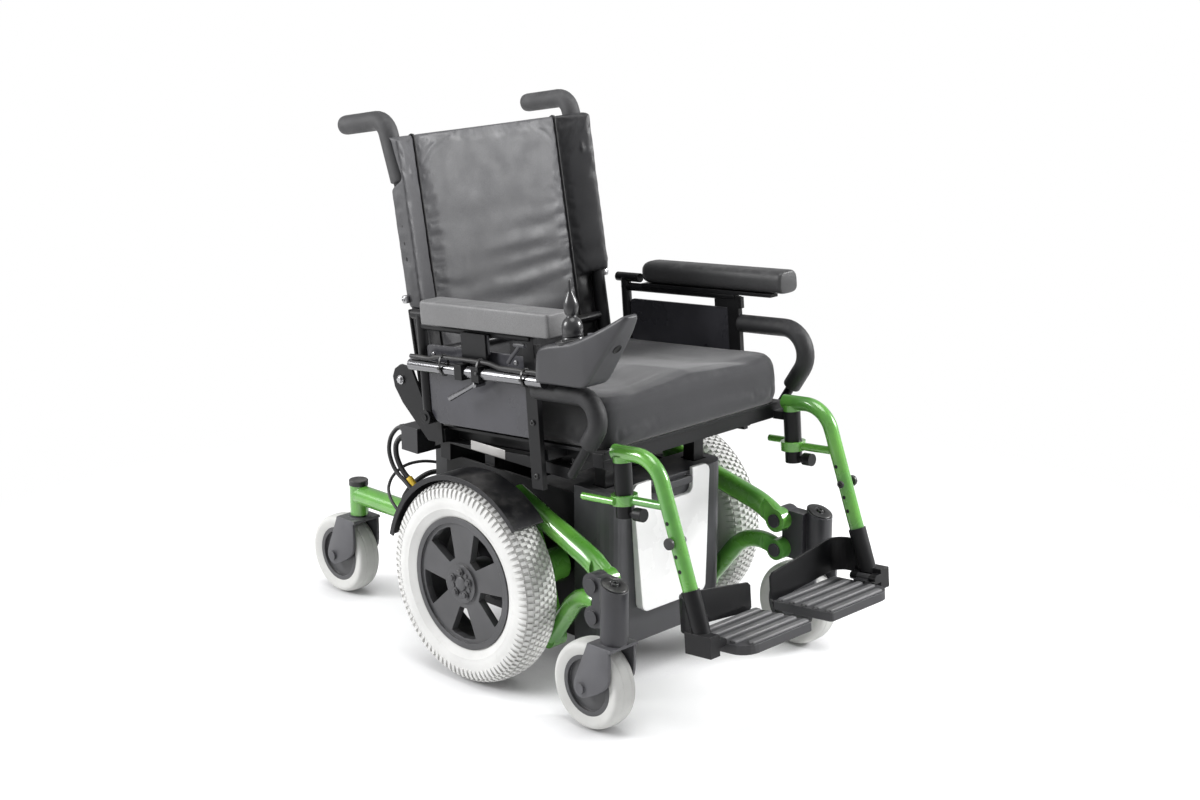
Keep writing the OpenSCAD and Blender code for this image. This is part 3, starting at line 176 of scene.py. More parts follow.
def cloth_weave():
    b, given, out = effect("cloth weave", {"Threads": 700.0}, ["Height", "Thread", "Tone"])
    spot, facing = b.spot(), b.facing()
    on_side = b.math("GREATER_THAN", b.math("ABSOLUTE", facing[0]), 0.7)
    upright = b.math("LESS_THAN", b.math("ABSOLUTE", facing[2]), 0.7)

    def ribs(line):
        return b.math("SINE", b.times(b.times(line, given["Threads"]), 6.2832))

    thread = b.times(ribs(b.either(on_side, spot[0], spot[1])), ribs(b.either(upright, spot[1], spot[2])))
    b.plug(out["Height"], b.ramp(thread, -1.0, 1.0))
    b.plug(out["Thread"], b.ramp(thread, -0.6, 0.6))
    b.plug(out["Tone"], b.ramp(b.cloud(11.0, 6.0), 0.3, 0.7))


def settled_dust():
    b, given, out = effect("settled dust", {"Amount": 0.3, "Scale": 24.0}, ["Dust"])
    lying = b.ramp(b.facing()[2], 0.1, 0.95)
    specks = b.ramp(b.cloud(given["Scale"], 7.0, Roughness=0.65), 0.42, 0.75)
    b.plug(out["Dust"], b.times(b.times(lying, specks), given["Amount"], True))


# Darkening by ambient occlusion within reach: painted shade in crevices and close to other parts.
def occlusion_shade():
    b, given, out = effect("painted occlusion shade", {"Reach": 0.008, "Amount": 0.8}, ["Dirt"])
    seen = b.add("ShaderNodeAmbientOcclusion", {"samples": 6}, Distance=given["Reach"])
    b.plug(out["Dirt"], b.times(b.ramp(seen.outputs["AO"], 0.92, 0.25), given["Amount"], True))


for build in (worn_edges, fine_grain, pebble_skin, cloth_weave, settled_dust, occlusion_shade):
    build()


# finishes

DUST, CLOTH_DUST, SKIN_DUST = (0.42, 0.41, 0.39, 1), (0.3, 0.3, 0.3, 1), (0.4, 0.4, 0.4, 1)
BARE_GREEN, BARE_STEEL = (0.40, 0.66, 0.22, 1), (0.9, 0.9, 0.9, 1)
GREEN_LIGHT, GREEN, GREEN_DEEP = (0.25, 0.58, 0.095, 1), (0.12, 0.38, 0.048, 1), (0.072, 0.27, 0.036, 1)
# Colours of painted shade on the back: the left bolster's face and the foot of the back.
BOLSTER_PAINTED_SHADE, BACK_FOOT_PAINTED_SHADE = (0.018, 0.018, 0.020, 1), (0.012, 0.012, 0.013, 1)
GRAIN_DEPTH, ENAMEL_DEPTH, RUBBER_DEPTH, WEAVE_DEPTH = 0.00006, 0.00008, 0.0001, 0.0002
PEBBLE_DEPTH, PUCKER_DEPTH, BRUSH_DEPTH = 0.00018, 0.002, 0.00005
DUST_DULL = 0.4


def tint(colour, factor=1.0):
    return tuple(min(1.0, c * factor) for c in colour[:3]) + (1.0,)


def empty_board(made):
    made.use_nodes = True
    made.node_tree.nodes.clear()
    return Board(made.node_tree)


def finish(name, metal=0.0, specular=0.5, coat=0.0, coat_rough=0.03, sheen=0.0):
    """An empty finish with its constants on the shader's own sockets: material, board, shader."""
    made = bpy.data.materials.new(name)
    b = empty_board(made)
    shader = b.add("ShaderNodeBsdfPrincipled")
    b.add("ShaderNodeOutputMaterial", Surface=shader.outputs[0])
    b.fill(shader, {"Metallic": metal, "Specular IOR Level": specular, "Coat Weight": coat,
                    "Coat Roughness": coat_rough, "Sheen Weight": sheen})
    return made, b, shader


def lay(b, shader, colour, rough, height, strength, depth, under=None):
    """Plugs a finish's colour, roughness and relief into its shader."""
    relief = b.add("ShaderNodeBump", Strength=strength, Distance=depth, Height=height)
    if under is not None:
        b.plug(relief.inputs["Normal"], under)
    b.fill(shader, {"Base Color": colour, "Roughness": rough, "Normal": relief.outputs[0]})


def hard(name, colour, rough, edge_colour, wear=0.5, radius=1.2, grain=900.0, bump=0.25, dust=0.25,
         spread=0.16, metal=0.0, specular=0.5, coat=0.0):
    """Moulded plastic, powder coat or paint: grain, worn edges, a little dust, uneven gloss."""
    made, b, shader = finish(name, metal, specular, coat)
    edges = b.use("worn edges", Radius=radius * MM, Wear=wear)
    grains = b.use("fine grain", Scale=grain)
    dirt = b.use("settled dust", Amount=dust)["Dust"]
    base = b.blend(grains["Tone"], tint(colour, 1 - spread), tint(colour, 1 + spread))
    worn = b.blend(edges["Edge"], b.blend(dirt, base, DUST), tint(edge_colour))
    gloss = b.ramp(grains["Tone"], 0.0, 1.0, rough - 0.06, rough + 0.07)
    dull = b.math("ADD", gloss, b.times(dirt, DUST_DULL), True)
    lay(b, shader, worn, dull, grains["Height"], bump, GRAIN_DEPTH, edges["Normal"])
    return made


def green_paint():
    made, b, shader = finish("green enamel", metal=0.05, specular=0.6, coat=1.0, coat_rough=0.12)
    edges = b.use("worn edges", Radius=1.5 * MM, Wear=0.25)
    grains = b.use("fine grain", Scale=380.0, Roughness=0.4)
    flake = b.add("ShaderNodeTexVoronoi", Vector=b.place(), Scale=2600.0)
    glint = b.ramp(flake.outputs["Distance"], 0.05, 0.5)
    deep = b.blend(grains["Tone"], b.blend(glint, GREEN_LIGHT, GREEN), GREEN_DEEP)
    gloss = b.ramp(grains["Tone"], 0.0, 1.0, 0.22, 0.34)
    lay(b, shader, b.blend(edges["Edge"], deep, BARE_GREEN), gloss, grains["Height"], 0.12, ENAMEL_DEPTH,
        edges["Normal"])
    return made


def tyre_rubber(name, colour, soil, groove_shade_share):
    made, b, shader = finish(name, specular=0.3)
    grains = b.use("fine grain", Scale=520.0)
    # Darker soil tone in the tread grooves where ambient occlusion finds them: painted shade.
    dirt = b.use("painted occlusion shade", Reach=9 * MM, Amount=groove_shade_share)["Dirt"]
    scuff = b.cloud(46.0, 7.0, Roughness=0.7)
    base = b.blend(grains["Tone"], tint(colour, 0.93), tint(colour, 1.04))
    scuffed = b.blend(b.ramp(scuff, 0.55, 0.8, 0.0, 0.35), base, tint(soil))
    rough = b.ramp(scuff, 0.3, 0.7, 0.5, 0.72)
    lay(b, shader, b.blend(dirt, scuffed, tint(soil, 0.75)), rough, grains["Height"], 0.3, RUBBER_DEPTH)
    return made


def woven(name, colour, light, threads, sheen):
    made, b, shader = finish(name, specular=0.25, sheen=sheen)
    shader.inputs["Sheen Roughness"].default_value = 0.45
    weave = b.use("cloth weave", Threads=threads)
    dirt = b.use("settled dust", Amount=0.07, Scale=40.0)["Dust"]
    # Painted shade by ambient occlusion within 0.16 m, darker near the armrest side panels and the back.
    near_part_shade = b.use("painted occlusion shade", Reach=0.16, Amount=0.9)["Dirt"]
    on_side = b.ramp(b.math("ABSOLUTE", b.facing()[0]), 0.72, 0.90)
    base = b.blend(weave["Thread"], tint(colour), tint(light))
    banded = b.blend(on_side, base, tint(colour, 0.16))
    aged = b.blend(b.times(weave["Tone"], 0.3), banded, tint(colour, 0.5))
    shaded = b.blend(near_part_shade, aged, tint(colour, 0.2))
    rough = b.ramp(weave["Thread"], 0.0, 1.0, 0.66, 0.86)
    lay(b, shader, b.blend(dirt, shaded, CLOTH_DUST), rough, weave["Height"], 0.5, WEAVE_DEPTH)
    return made


def coated_cloth(name, colour, rough, grain, bump=0.35, painted_shade=None):
    made, b, shader = finish(name, specular=0.4)
    skin = b.use("pebble skin", Scale=grain)
    dirt = b.use("settled dust", Amount=0.12, Scale=50.0)["Dust"]
    folds = b.cloud(28.0, 4.0)
    base = b.blend(skin["Tone"], tint(colour, 0.88), tint(colour, 1.1))
    pores = b.blend(skin["Height"], tint(colour, 0.7), base)
    # An optional painted shade laid over the cloth's colour.
    shaded = painted_shade(b, pores) if painted_shade else pores
    gloss = b.ramp(folds, 0.3, 0.7, rough - 0.07, rough + 0.08)
    puckers = b.add("ShaderNodeBump", Strength=0.12, Distance=PUCKER_DEPTH, Height=folds)
    dusty = b.blend(dirt, shaded, SKIN_DUST)
    lay(b, shader, dusty, gloss, skin["Height"], bump, PEBBLE_DEPTH, puckers.outputs[0])
    return made


def back_painted_shade(b, base):
    """Painted shade on the left bolster's face and towards the foot of the back."""
    spot = b.spot()
    inner = b.ramp(spot[0], 0.169, 0.175)
    outer = b.ramp(spot[0], 0.221, 0.234, 1.0, 0.35)
    bolster = b.blend(b.times(inner, outer), base, BOLSTER_PAINTED_SHADE)
    return b.blend(b.ramp(spot[2], 0.84, 0.58, 0.0, 0.42), bolster, BACK_FOOT_PAINTED_SHADE)


def brushed(name, colour, rough):
    made, b, shader = finish(name, metal=1.0)
    edges = b.use("worn edges", Radius=0.8 * MM, Wear=0.35)
    pulled = b.add("ShaderNodeMapping", Vector=b.place(), Scale=(1.0, 0.06, 1.0)).outputs[0]
    lines = b.add("ShaderNodeTexNoise", Vector=pulled, Scale=900.0, Detail=3.0).outputs[0]
    tone = b.use("fine grain", Scale=240.0)["Tone"]
    base = b.blend(lines, tint(colour, 0.8), tint(colour, 1.12))
    gloss = b.ramp(tone, 0.0, 1.0, rough - 0.06, rough + 0.1)
    worn = b.blend(edges["Edge"], base, BARE_STEEL)
    lay(b, shader, worn, gloss, lines, 0.15, BRUSH_DEPTH, edges["Normal"])
    return made


LIGHT_EDGE = (0.30, 0.30, 0.31)
green_enamel = green_paint()
wheel_grey = hard("wheel grey plastic", (0.064, 0.064, 0.068), 0.40, (0.24, 0.24, 0.25), grain=700.0,
                  radius=1.5)
# The housing and the forks share one charcoal powder coat, kept in two copies: this darker one is painted
# shade, the lighter fork copy below is painted light.
cast_charcoal = hard("charcoal powder coat", (0.034, 0.034, 0.039), 0.42, LIGHT_EDGE, grain=1100.0, bump=0.4)
fork_coat_painted_light = hard("fork coat with painted light", (0.085, 0.085, 0.093), 0.44, LIGHT_EDGE, grain=1000.0, bump=0.35)
frame_black = hard("black frame coat", (0.008, 0.008, 0.009), 0.38, (0.06, 0.06, 0.063), grain=1300.0,
                   dust=0.06, specular=0.25)
fender_black = hard("black fender plastic", (0.010, 0.010, 0.012), 0.42, (0.12, 0.12, 0.125), grain=520.0,
                    dust=0.15, radius=2.0, specular=0.4)
shroud_grey = hard("grey shroud plastic", (0.050, 0.050, 0.055), 0.5, (0.22, 0.22, 0.23), grain=620.0,
                   bump=0.5, radius=2.5)
panel_white = hard("white gloss panel", (0.92, 0.92, 0.92), 0.24, (0.92, 0.92, 0.92), wear=0.2, grain=300.0,
                   bump=0.06, dust=0.05, spread=0.02, radius=2.5, coat=0.6)
motor_grey = hard("motor grey paint", (0.05, 0.05, 0.054), 0.5, (0.25, 0.25, 0.25), grain=800.0)
battery_black = hard("battery case", (0.03, 0.03, 0.033), 0.55, (0.14, 0.14, 0.14), grain=400.0)
module_black = hard("module case", (0.024, 0.024, 0.027), 0.5, (0.16, 0.16, 0.17), grain=520.0)
foot_grey = hard("footplate rib plastic", (0.105, 0.105, 0.109), 0.44, (0.34, 0.34, 0.35), wear=0.4,
                 grain=420.0, bump=0.4, radius=1.5, dust=0.12)
foot_dark = hard("footplate plastic", (0.026, 0.026, 0.029), 0.5, (0.20, 0.20, 0.21), wear=0.35,
                 grain=420.0, bump=0.5, radius=2.2, dust=0.06)
stick_grey = hard("joystick plastic", (0.032, 0.032, 0.036), 0.38, (0.2, 0.2, 0.21), grain=680.0, radius=2.5,
                  dust=0.1)
stick_rubber = hard("joystick rubber", (0.016, 0.016, 0.018), 0.3, (0.10, 0.10, 0.11), wear=0.3, grain=520.0,
                    bump=0.12, dust=0.05, coat=0.35)
side_grey = hard("side panel plastic", (0.044, 0.044, 0.052), 0.32, (0.26, 0.26, 0.28), grain=300.0,
                 radius=2.0, bump=0.35)
cap_black = hard("black caps", (0.016, 0.016, 0.017), 0.36, (0.1, 0.1, 0.1), grain=600.0)
cable_black = hard("cable rubber", (0.014, 0.014, 0.015), 0.5, (0.06, 0.06, 0.06), dust=0.2)
yellow_shell = hard("yellow connector shell", (0.75, 0.50, 0.02), 0.42, (0.85, 0.7, 0.2), grain=500.0)
plate_bare = hard("bare rating plate", (0.42, 0.41, 0.40), 0.4, (0.7, 0.7, 0.7), grain=260.0, metal=0.4)
# Near-black finish for the flat discs and shallow sockets that stand for holes: painted shade inside them.
hole_painted_shade = hard("painted shade in holes", (0.006, 0.006, 0.006), 0.8, (0.02, 0.02, 0.02), grain=300.0)
button_pale = hard("button plastic", (0.10, 0.10, 0.11), 0.4, (0.3, 0.3, 0.3), grain=500.0)
bush_rubber = hard("bush rubber", (0.02, 0.02, 0.02), 0.7, (0.05, 0.05, 0.05), grain=400.0)
tyre_pale = tyre_rubber("pale tyre rubber", (0.70, 0.70, 0.69), (0.42, 0.41, 0.39), 0.6)
caster_pale = tyre_rubber("pale caster rubber", (0.60, 0.60, 0.585), (0.40, 0.39, 0.37), 0.7)
seat_cloth = woven("charcoal seat cloth", (0.022, 0.022, 0.025), (0.040, 0.040, 0.044), 620.0, 0.35)
back_vinyl = coated_cloth("grey back vinyl", (0.096, 0.096, 0.102), 0.46, 720.0, painted_shade=back_painted_shade)
flap_cloth = coated_cloth("black flap cloth", (0.012, 0.012, 0.013), 0.6, 900.0)
pad_vinyl = coated_cloth("grey pad skin", (0.19, 0.19, 0.193), 0.44, 560.0)
# A darker copy of the grey pad skin, for the left pad: painted shade.
pad_painted_shade = coated_cloth("pad skin with painted shade", (0.052, 0.052, 0.054), 0.42, 560.0)
foam_black = coated_cloth("black foam sleeve", (0.018, 0.018, 0.020), 0.5, 900.0, 0.5)
grip_foam = coated_cloth("grip foam", (0.055, 0.055, 0.058), 0.55, 900.0, 0.5)
piping_black = coated_cloth("black piping", (0.010, 0.010, 0.011), 0.5, 1200.0)
bright_steel = brushed("brushed bright steel", (0.24, 0.24, 0.25), 0.22)
zinc_bolt = brushed("zinc bolt", (0.42, 0.42, 0.43), 0.34)


# shapes: a shape is a list of points in metres and a list of faces; the measures given are in mm

def mm(x, y, z):
    return Vector((x, y, z)) * MM


def turns(count):
    return [2 * math.pi * i / count for i in range(count)]


def hump(x, width):
    """A soft hump of height 1."""
    return math.exp(-(x / width) ** 2)


def soft(share, half, power):
    """Reach of a rounded square's outline: a power of 1 is round, near 0 is square."""
    return math.copysign(half * abs(share) ** power, share)


def joined(*shapes):
    points, faces = [], []
    for some_points, some_faces in shapes:
        start = len(points)
        points += [Vector(p) for p in some_points]
        faces += [[start + i for i in f] for f in some_faces]
    return points, faces


def moved(shape, matrix):
    return [matrix @ Vector(p) for p in shape[0]], shape[1]


def mirrored(shape):
    return [Vector((-p[0], p[1], p[2])) for p in shape[0]], [list(reversed(f)) for f in shape[1]]


def loft(rings, closed=False, caps=True):
    """Skin over rings of equal count, in metres."""
    n = len(rings[0])
    points = [Vector(p) for ring in rings for p in ring]
    faces = []
    for k in range(len(rings) if closed else len(rings) - 1):
        a, c = k * n, ((k + 1) % len(rings)) * n
        faces += [[a + i, a + (i + 1) % n, c + (i + 1) % n, c + i] for i in range(n)]
    if caps and not closed:
        faces.append([n - 1 - i for i in range(n)])
        faces.append([(len(rings) - 1) * n + i for i in range(n)])
    return points, faces


def lathe(profile, sides=48, closed=False):
    """Turned shape about Z from (radius, height) points."""
    return loft([[mm(r * math.cos(a), r * math.sin(a), z) for a in turns(sides)] for r, z in profile], closed)


def aim(at, direction):
    return Matrix.Translation(mm(*at)) @ Vector(direction).to_track_quat("Z", "Y").to_matrix().to_4x4()


def walk(start, heading, legs, step=8.0):
    """Points along a tube in a side plane: a leg is (length,) or (radius, turn in degrees)."""
    y, z = start
    h = math.radians(heading)
    points = [(y, z)]
    for leg in legs:
        if len(leg) == 1:
            count = max(1, round(leg[0] / step))
            reach = [leg[0] * i / count for i in range(1, count + 1)]
            points += [(y + far * math.cos(h), z + far * math.sin(h)) for far in reach]
        else:
            radius, turn = leg[0], math.radians(leg[1])
            swing = math.copysign(radius, turn)
            cy, cz = y - swing * math.sin(h), z + swing * math.cos(h)
            count = max(3, round(abs(turn) * radius / step))
            bend = [h + turn * i / count for i in range(1, count + 1)]
            points += [(cy + swing * math.sin(a), cz - swing * math.cos(a)) for a in bend]
            h += turn
        y, z = points[-1]
    return points


def sweep(points, radius, sides=16, dome=0.0):
    """Round tube through points; dome rounds the two ends by that length."""
    points = [Vector(p) for p in points]
    last = len(points) - 1
    tangents = [(points[min(i + 1, last)] - points[max(i - 1, 0)]).normalized() for i in range(last + 1)]
    side = tangents[0].cross(Vector((1, 0, 0)))
    if side.length < 0.2:
        side = tangents[0].cross(Vector((0, 0, 1)))
    side.normalize()
    size_at = radius if callable(radius) else (lambda share: radius)
    ends = [(dome * (1 - t), (1 - (1 - t) ** 2) ** 0.5) for t in (0.15, 0.45, 0.8)] if dome else []
    rings = []
    for i, (at, tangent) in enumerate(zip(points, tangents)):
        side = (side - tangent * side.dot(tangent)).normalized()
        other = tangent.cross(side)
        size = size_at(i / last)
        slices = [(at, size)]
        if i == 0:
            slices = [(at - tangent * far, size * k) for far, k in ends] + slices
        if i == last:
            slices += [(at + tangent * far, size * k) for far, k in reversed(ends)]
        for spot, r in slices:
            rings.append([(spot + r * (math.cos(a) * side + math.sin(a) * other)) * MM for a in turns(sides)])
    return loft(rings)


def smooth_route(points, parts=5):
    """A rounder line through the route's points."""
    points = [Vector(p) for p in points]
    made = []
    for i in range(len(points) - 1):
        p0, p1 = points[max(i - 1, 0)], points[i]
        p2, p3 = points[i + 1], points[min(i + 2, len(points) - 1)]
        for t in (k / parts for k in range(parts)):
            made.append(0.5 * (2 * p1 + (p2 - p0) * t + (2 * p0 - 5 * p1 + 4 * p2 - p3) * t * t
                               + (3 * p1 - p0 - 3 * p2 + p3) * t ** 3))
    return made + [points[-1]]


def rounded_box(low, high, edge):
    """Box with rounded edges."""
    bm = bmesh.new()
    bmesh.ops.create_cube(bm, size=1.0)
    for v in bm.verts:
        v.co = mm(*[(a + b) / 2 + c * (b - a) for a, b, c in zip(low, high, v.co)])
    bmesh.ops.bevel(bm, geom=list(bm.edges), offset=edge * MM, segments=3, affect="EDGES", profile=0.5)
    bm.verts.index_update()
    shape = [v.co.copy() for v in bm.verts], [[v.index for v in f.verts] for f in bm.faces]
    bm.free()
    return shape


def socket_bolt(radius, height):
    """Round bolt head with a six-sided socket."""
    n = 24
    points, faces = lathe([(radius, -1.5), (radius, height * 0.55), (radius * 0.9, height * 0.85),
                           (radius * 0.72, height), (radius * 0.5, height)], n)
    faces.pop()
    rim, start = len(points) - n, len(points)
    corners = [2 * math.pi * (i // 4) / 6 for i in range(n)]
    key = radius * 0.46
    for level in (height * 0.98, height * 0.35):
        points += [mm(key * math.cos(a), key * math.sin(a), level) for a in corners]
    for base in (rim, start):
        faces += [[base + i, base + (i + 1) % n, base + n + (i + 1) % n, base + n + i] for i in range(n)]
    faces.append([start + n + i for i in range(n)])
    return points, faces


def hex_bolt(radius, height):
    """Six-sided bolt head on a washer, with a chamfered top."""
    washer = lathe([(radius * 1.35, -1.2), (radius * 1.35, height * 0.2), (radius * 0.9, height * 0.2)], 24)
    head = lathe([(radius, height * 0.15), (radius, height * 0.85), (radius * 0.82, height),
                  (radius * 0.1, height)], 6)
    return joined(washer, head)


def dress(made, body, replaces=()):
    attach(made, body)
    if replaces:
        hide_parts(*replaces)


def piece(name, shape, material, body=None, replaces=(), sharp=38):
    """Makes the object, shades it and lets it ride on its body."""
    mesh = bpy.data.meshes.new(name)
    mesh.from_pydata([tuple(p) for p in shape[0]], [], shape[1])
    bm = bmesh.new()
    bm.from_mesh(mesh)
    bmesh.ops.remove_doubles(bm, verts=list(bm.verts), dist=1e-6)
    bmesh.ops.recalc_face_normals(bm, faces=list(bm.faces))
    bm.to_mesh(mesh)
    bm.free()
    mesh.shade_smooth()
    mesh.set_sharp_from_angle(angle=math.radians(sharp))
    mesh.materials.append(material)
    made = bpy.data.objects.new(name, mesh)
    bpy.context.scene.collection.objects.link(made)
    if body:
        dress(made, body, replaces)
    return made


# wheels

LUGS, LUG_HEIGHT, LUG_ROOT, LUG_HALF, LUG_TAPER = 90, 3.4, -0.8, 3.5, 0.82
LUG_SHARE, SHOULDER_SHARE = 0.31, 0.32
LUG_ROWS = (-27.4, -18.4, -9.2, 0, 9.2, 18.4, 27.4)
SHOULDER_FROM, SHOULDER_TO = 31.6, math.radians(84)
TYRE_MID, TYRE_HALF, CARCASS, TYRE_FULL = 145.0, 38.0, 29.6, 0.75
BEAD_R, BEAD_HALF = 116.0, 27.0
WALL_RIDGE, WALL_RIDGE_WIDE, WALL_RIDGE_AT = 0.7, 0.05, (1.62, 1.92)
CASTER_R, CASTER_HUB, CASTER_HALF, CASTER_FULL, CASTER_SEAT = 76.0, 52.0, 23.5, 0.7, 19
GROOVE_AT, GROOVE = 9, 0.9


def tyre_point(a, lift=0.0):
    """Radius and sideways place on the tyre's section at angle a, lifted along its normal."""
    def bare(t):
        ridge = WALL_RIDGE * sum(hump(abs(t) - at, WALL_RIDGE_WIDE) for at in WALL_RIDGE_AT)
        return Vector((TYRE_MID + soft(math.cos(t), CARCASS, TYRE_FULL),
                       soft(math.sin(t), TYRE_HALF - 0.9 + ridge, TYRE_FULL)))
    along = bare(a + 0.01) - bare(a - 0.01)
    return bare(a) + Vector((along.y, -along.x)).normalized() * lift


def lug(a0, a1, turn, half, parts=1):
    """One tread block between two section angles."""
    points, faces = [], []
    for lift, shrink in ((LUG_ROOT, 1.0), (LUG_HEIGHT, LUG_TAPER)):
        mid, reach = (a0 + a1) / 2, (a1 - a0) / 2 * (1 - (1 - shrink) * 0.7)
        for i in range(parts + 1):
            r, w = tyre_point(mid - reach + 2 * reach * i / parts, lift)
            w = max(-TYRE_HALF, min(TYRE_HALF, w))
            for t in (turn - half * shrink, turn + half * shrink):
                points.append(mm(r * math.cos(t), r * math.sin(t), w))
    n = 2 * (parts + 1)
    for k in range(0, 2 * parts, 2):
        faces.append([n + k, n + k + 1, n + k + 3, n + k + 2])
        faces.append([k, n + k, n + k + 2, k + 2])
        faces.append([k + 1, k + 3, n + k + 3, n + k + 1])
    faces.append([0, 1, n + 1, n])
    faces.append([n - 2, 2 * n - 2, 2 * n - 1, n - 1])
    return points, faces


def tread_angle(w):
    return math.copysign(math.asin((abs(w) / TYRE_HALF) ** (1 / TYRE_FULL)), w)


def drive_tyre_shape():
    section = [tuple(tyre_point(math.radians(a))) for a in range(-115, 116, 5)]
    shapes = [lathe([(BEAD_R, -BEAD_HALF)] + section + [(BEAD_R, BEAD_HALF)], 144, closed=True)]
    pitch = 2 * math.pi / LUGS
    for i in range(LUGS):
        for row, w in enumerate(LUG_ROWS):
            turn = pitch * (i + 0.5 * (row % 2))
            shapes.append(lug(tread_angle(w - LUG_HALF), tread_angle(w + LUG_HALF), turn, pitch * LUG_SHARE))
        for side in (-1, 1):
            low, high = sorted((side * tread_angle(SHOULDER_FROM), side * SHOULDER_TO))
            shapes.append(lug(low, high, pitch * (i + 0.5), pitch * SHOULDER_SHARE, 3))
    return joined(*shapes)


def caster_tyre_shape():
    half = (CASTER_R - CASTER_HUB) / 2
    section = []
    for a in (math.radians(d) for d in range(-90, 91, 5)):
        w = soft(math.sin(a), CASTER_HALF, CASTER_FULL)
        groove = GROOVE * hump(abs(w) - GROOVE_AT, GROOVE)
        section.append((CASTER_HUB + half + soft(math.cos(a), half, CASTER_FULL) - groove, w))
    fine = []
    for p, q in zip(section, section[1:]):
        fine += [p, ((p[0] + q[0]) / 2, (p[1] + q[1]) / 2)]
    line = [(CASTER_HUB, -CASTER_SEAT)] + fine + [section[-1], (CASTER_HUB, CASTER_SEAT)]
    return lathe(line, 96, closed=True)


drive_tyre = drive_tyre_shape()
caster_tyre = caster_tyre_shape()
NUT_RING, NUT_OUT = 21, 32
nut_spots = [mm(NUT_RING * math.cos(a), NUT_RING * math.sin(a), NUT_OUT) for a in turns(5)]
nuts = joined(*[moved(hex_bolt(5.2, 5), Matrix.Translation(spot)) for spot in nut_spots])
hub_cap = lathe([(12.5, 29.5), (12.5, 32), (11, 33.2), (4, 33.6)], 40)
turn_to_x = Matrix.Rotation(math.radians(90), 4, "Y")
for side, sign in SIDES.items():
    wheel = "drive_wheel_" + side
    hub = Matrix.Translation((sign * wheel_x, axle.y, axle.z))
    outer = hub @ Matrix.Rotation(math.radians(90 * sign), 4, "Y")
    tread = moved(drive_tyre, hub @ turn_to_x)
    piece("drive_tread_" + side, tread, tyre_pale, wheel, ["drive_tyre_" + side], sharp=30)
    piece("wheel_nuts_" + side, moved(nuts, outer), wheel_grey, wheel)
    piece("wheel_cap_" + side, moved(hub_cap, outer), wheel_grey, wheel)
    for end in SWIVELS:
        node = end + "_tyre_" + side
        tread = moved(caster_tyre, Matrix.Translation(middle(node)) @ turn_to_x)
        piece(end + "_caster_tread_" + side, tread, caster_pale, end + "_caster_" + side, [node])


# soft goods

CLOTH_STEPS, CLOTH_QUALITY, PRESSURE = 20, 4, 4.0


def swell(made, voxel, pin, cap, slack=0.0):
    """Remeshes a pad, blows it up as cloth and keeps each point within cap of where it was."""
    mesh = made.data
    bpy.context.view_layer.objects.active = made
    made.select_set(True)
    mesh.remesh_voxel_size = voxel
    bpy.ops.object.voxel_remesh()
    made.select_set(False)
    rest = [v.co.copy() for v in mesh.vertices]
    held = made.vertex_groups.new(name="held")
    held.add([i for i, p in enumerate(rest) if pin(p)], 1.0, "REPLACE")
    cloth = made.modifiers.new("cloth", "CLOTH")
    cloth.settings.use_pressure = True
    cloth.settings.uniform_pressure_force = PRESSURE
    cloth.settings.vertex_group_mass = "held"
    cloth.settings.shrink_min = -slack
    cloth.settings.effector_weights.gravity = 0
    cloth.settings.quality = CLOTH_QUALITY
    scene = bpy.context.scene
    for number in range(1, CLOTH_STEPS + 1):
        scene.frame_set(number)
    seen = made.evaluated_get(bpy.context.evaluated_depsgraph_get())
    grown = [v.co.copy() for v in seen.data.vertices]
    made.modifiers.remove(cloth)
    scene.frame_set(1)
    for v, start, end in zip(mesh.vertices, rest, grown):
        step = end - start
        v.co = start + (step * (cap / step.length) if step.length > cap else step)
    mesh.shade_smooth()


def rounded(made):
    step = made.modifiers.new("rounding", "SUBSURF")
    step.levels = step.render_levels = 1


def cushion_top(x, y):
    """Height of the cushion's top: two leg troughs, a ridge between them and a hollow behind."""
    troughs = 9 * hump(abs(x) - 100, 58) * min(1, max(0, (402 - y) / 260))
    ridge = 5 * hump(x, 42) * max(0, (180 - y) / 180)
    hollow = 8 * hump(y - 290, 90) * hump(x, 150)
    return 89 - troughs + ridge - hollow


def cushion_shape():
    half_x, half_y, centre_y, square = 221, 203.5, 196.5, 0.13
    outline = [(soft(math.cos(a), half_x, square), soft(math.sin(a), half_y, square)) for a in turns(120)]
    edge = [(0.962, 0.0), (0.972, 0.05), (0.992, 0.2), (0.997, 0.5), (0.992, 0.75), (0.976, 0.9)]
    inner = [(0.945, 0.955), (0.9, 0.975), (0.82, 0.99)] + [(k, 0.995) for k in (0.7, 0.55, 0.4, 0.25, 0.1)]
    rings = [[(x * k * MM, (centre_y + y * k) * MM, (84 * h - 1) * MM) for x, y in outline] for k, h in edge]
    rings += [[(x * k * MM, (centre_y + y * k) * MM, (cushion_top(x * k, centre_y + y * k) * h - 1.5) * MM)
               for x, y in outline] for k, h in inner]
    return loft(rings)


cushion = piece("seat_cushion_cover", moved(cushion_shape(), seat), seat_cloth)
swell(cushion, 0.006, lambda p: (to_seat @ p).z < 2 * MM, 2.5 * MM)
rounded(cushion)
dress(cushion, "base", ["seat_cushion"])

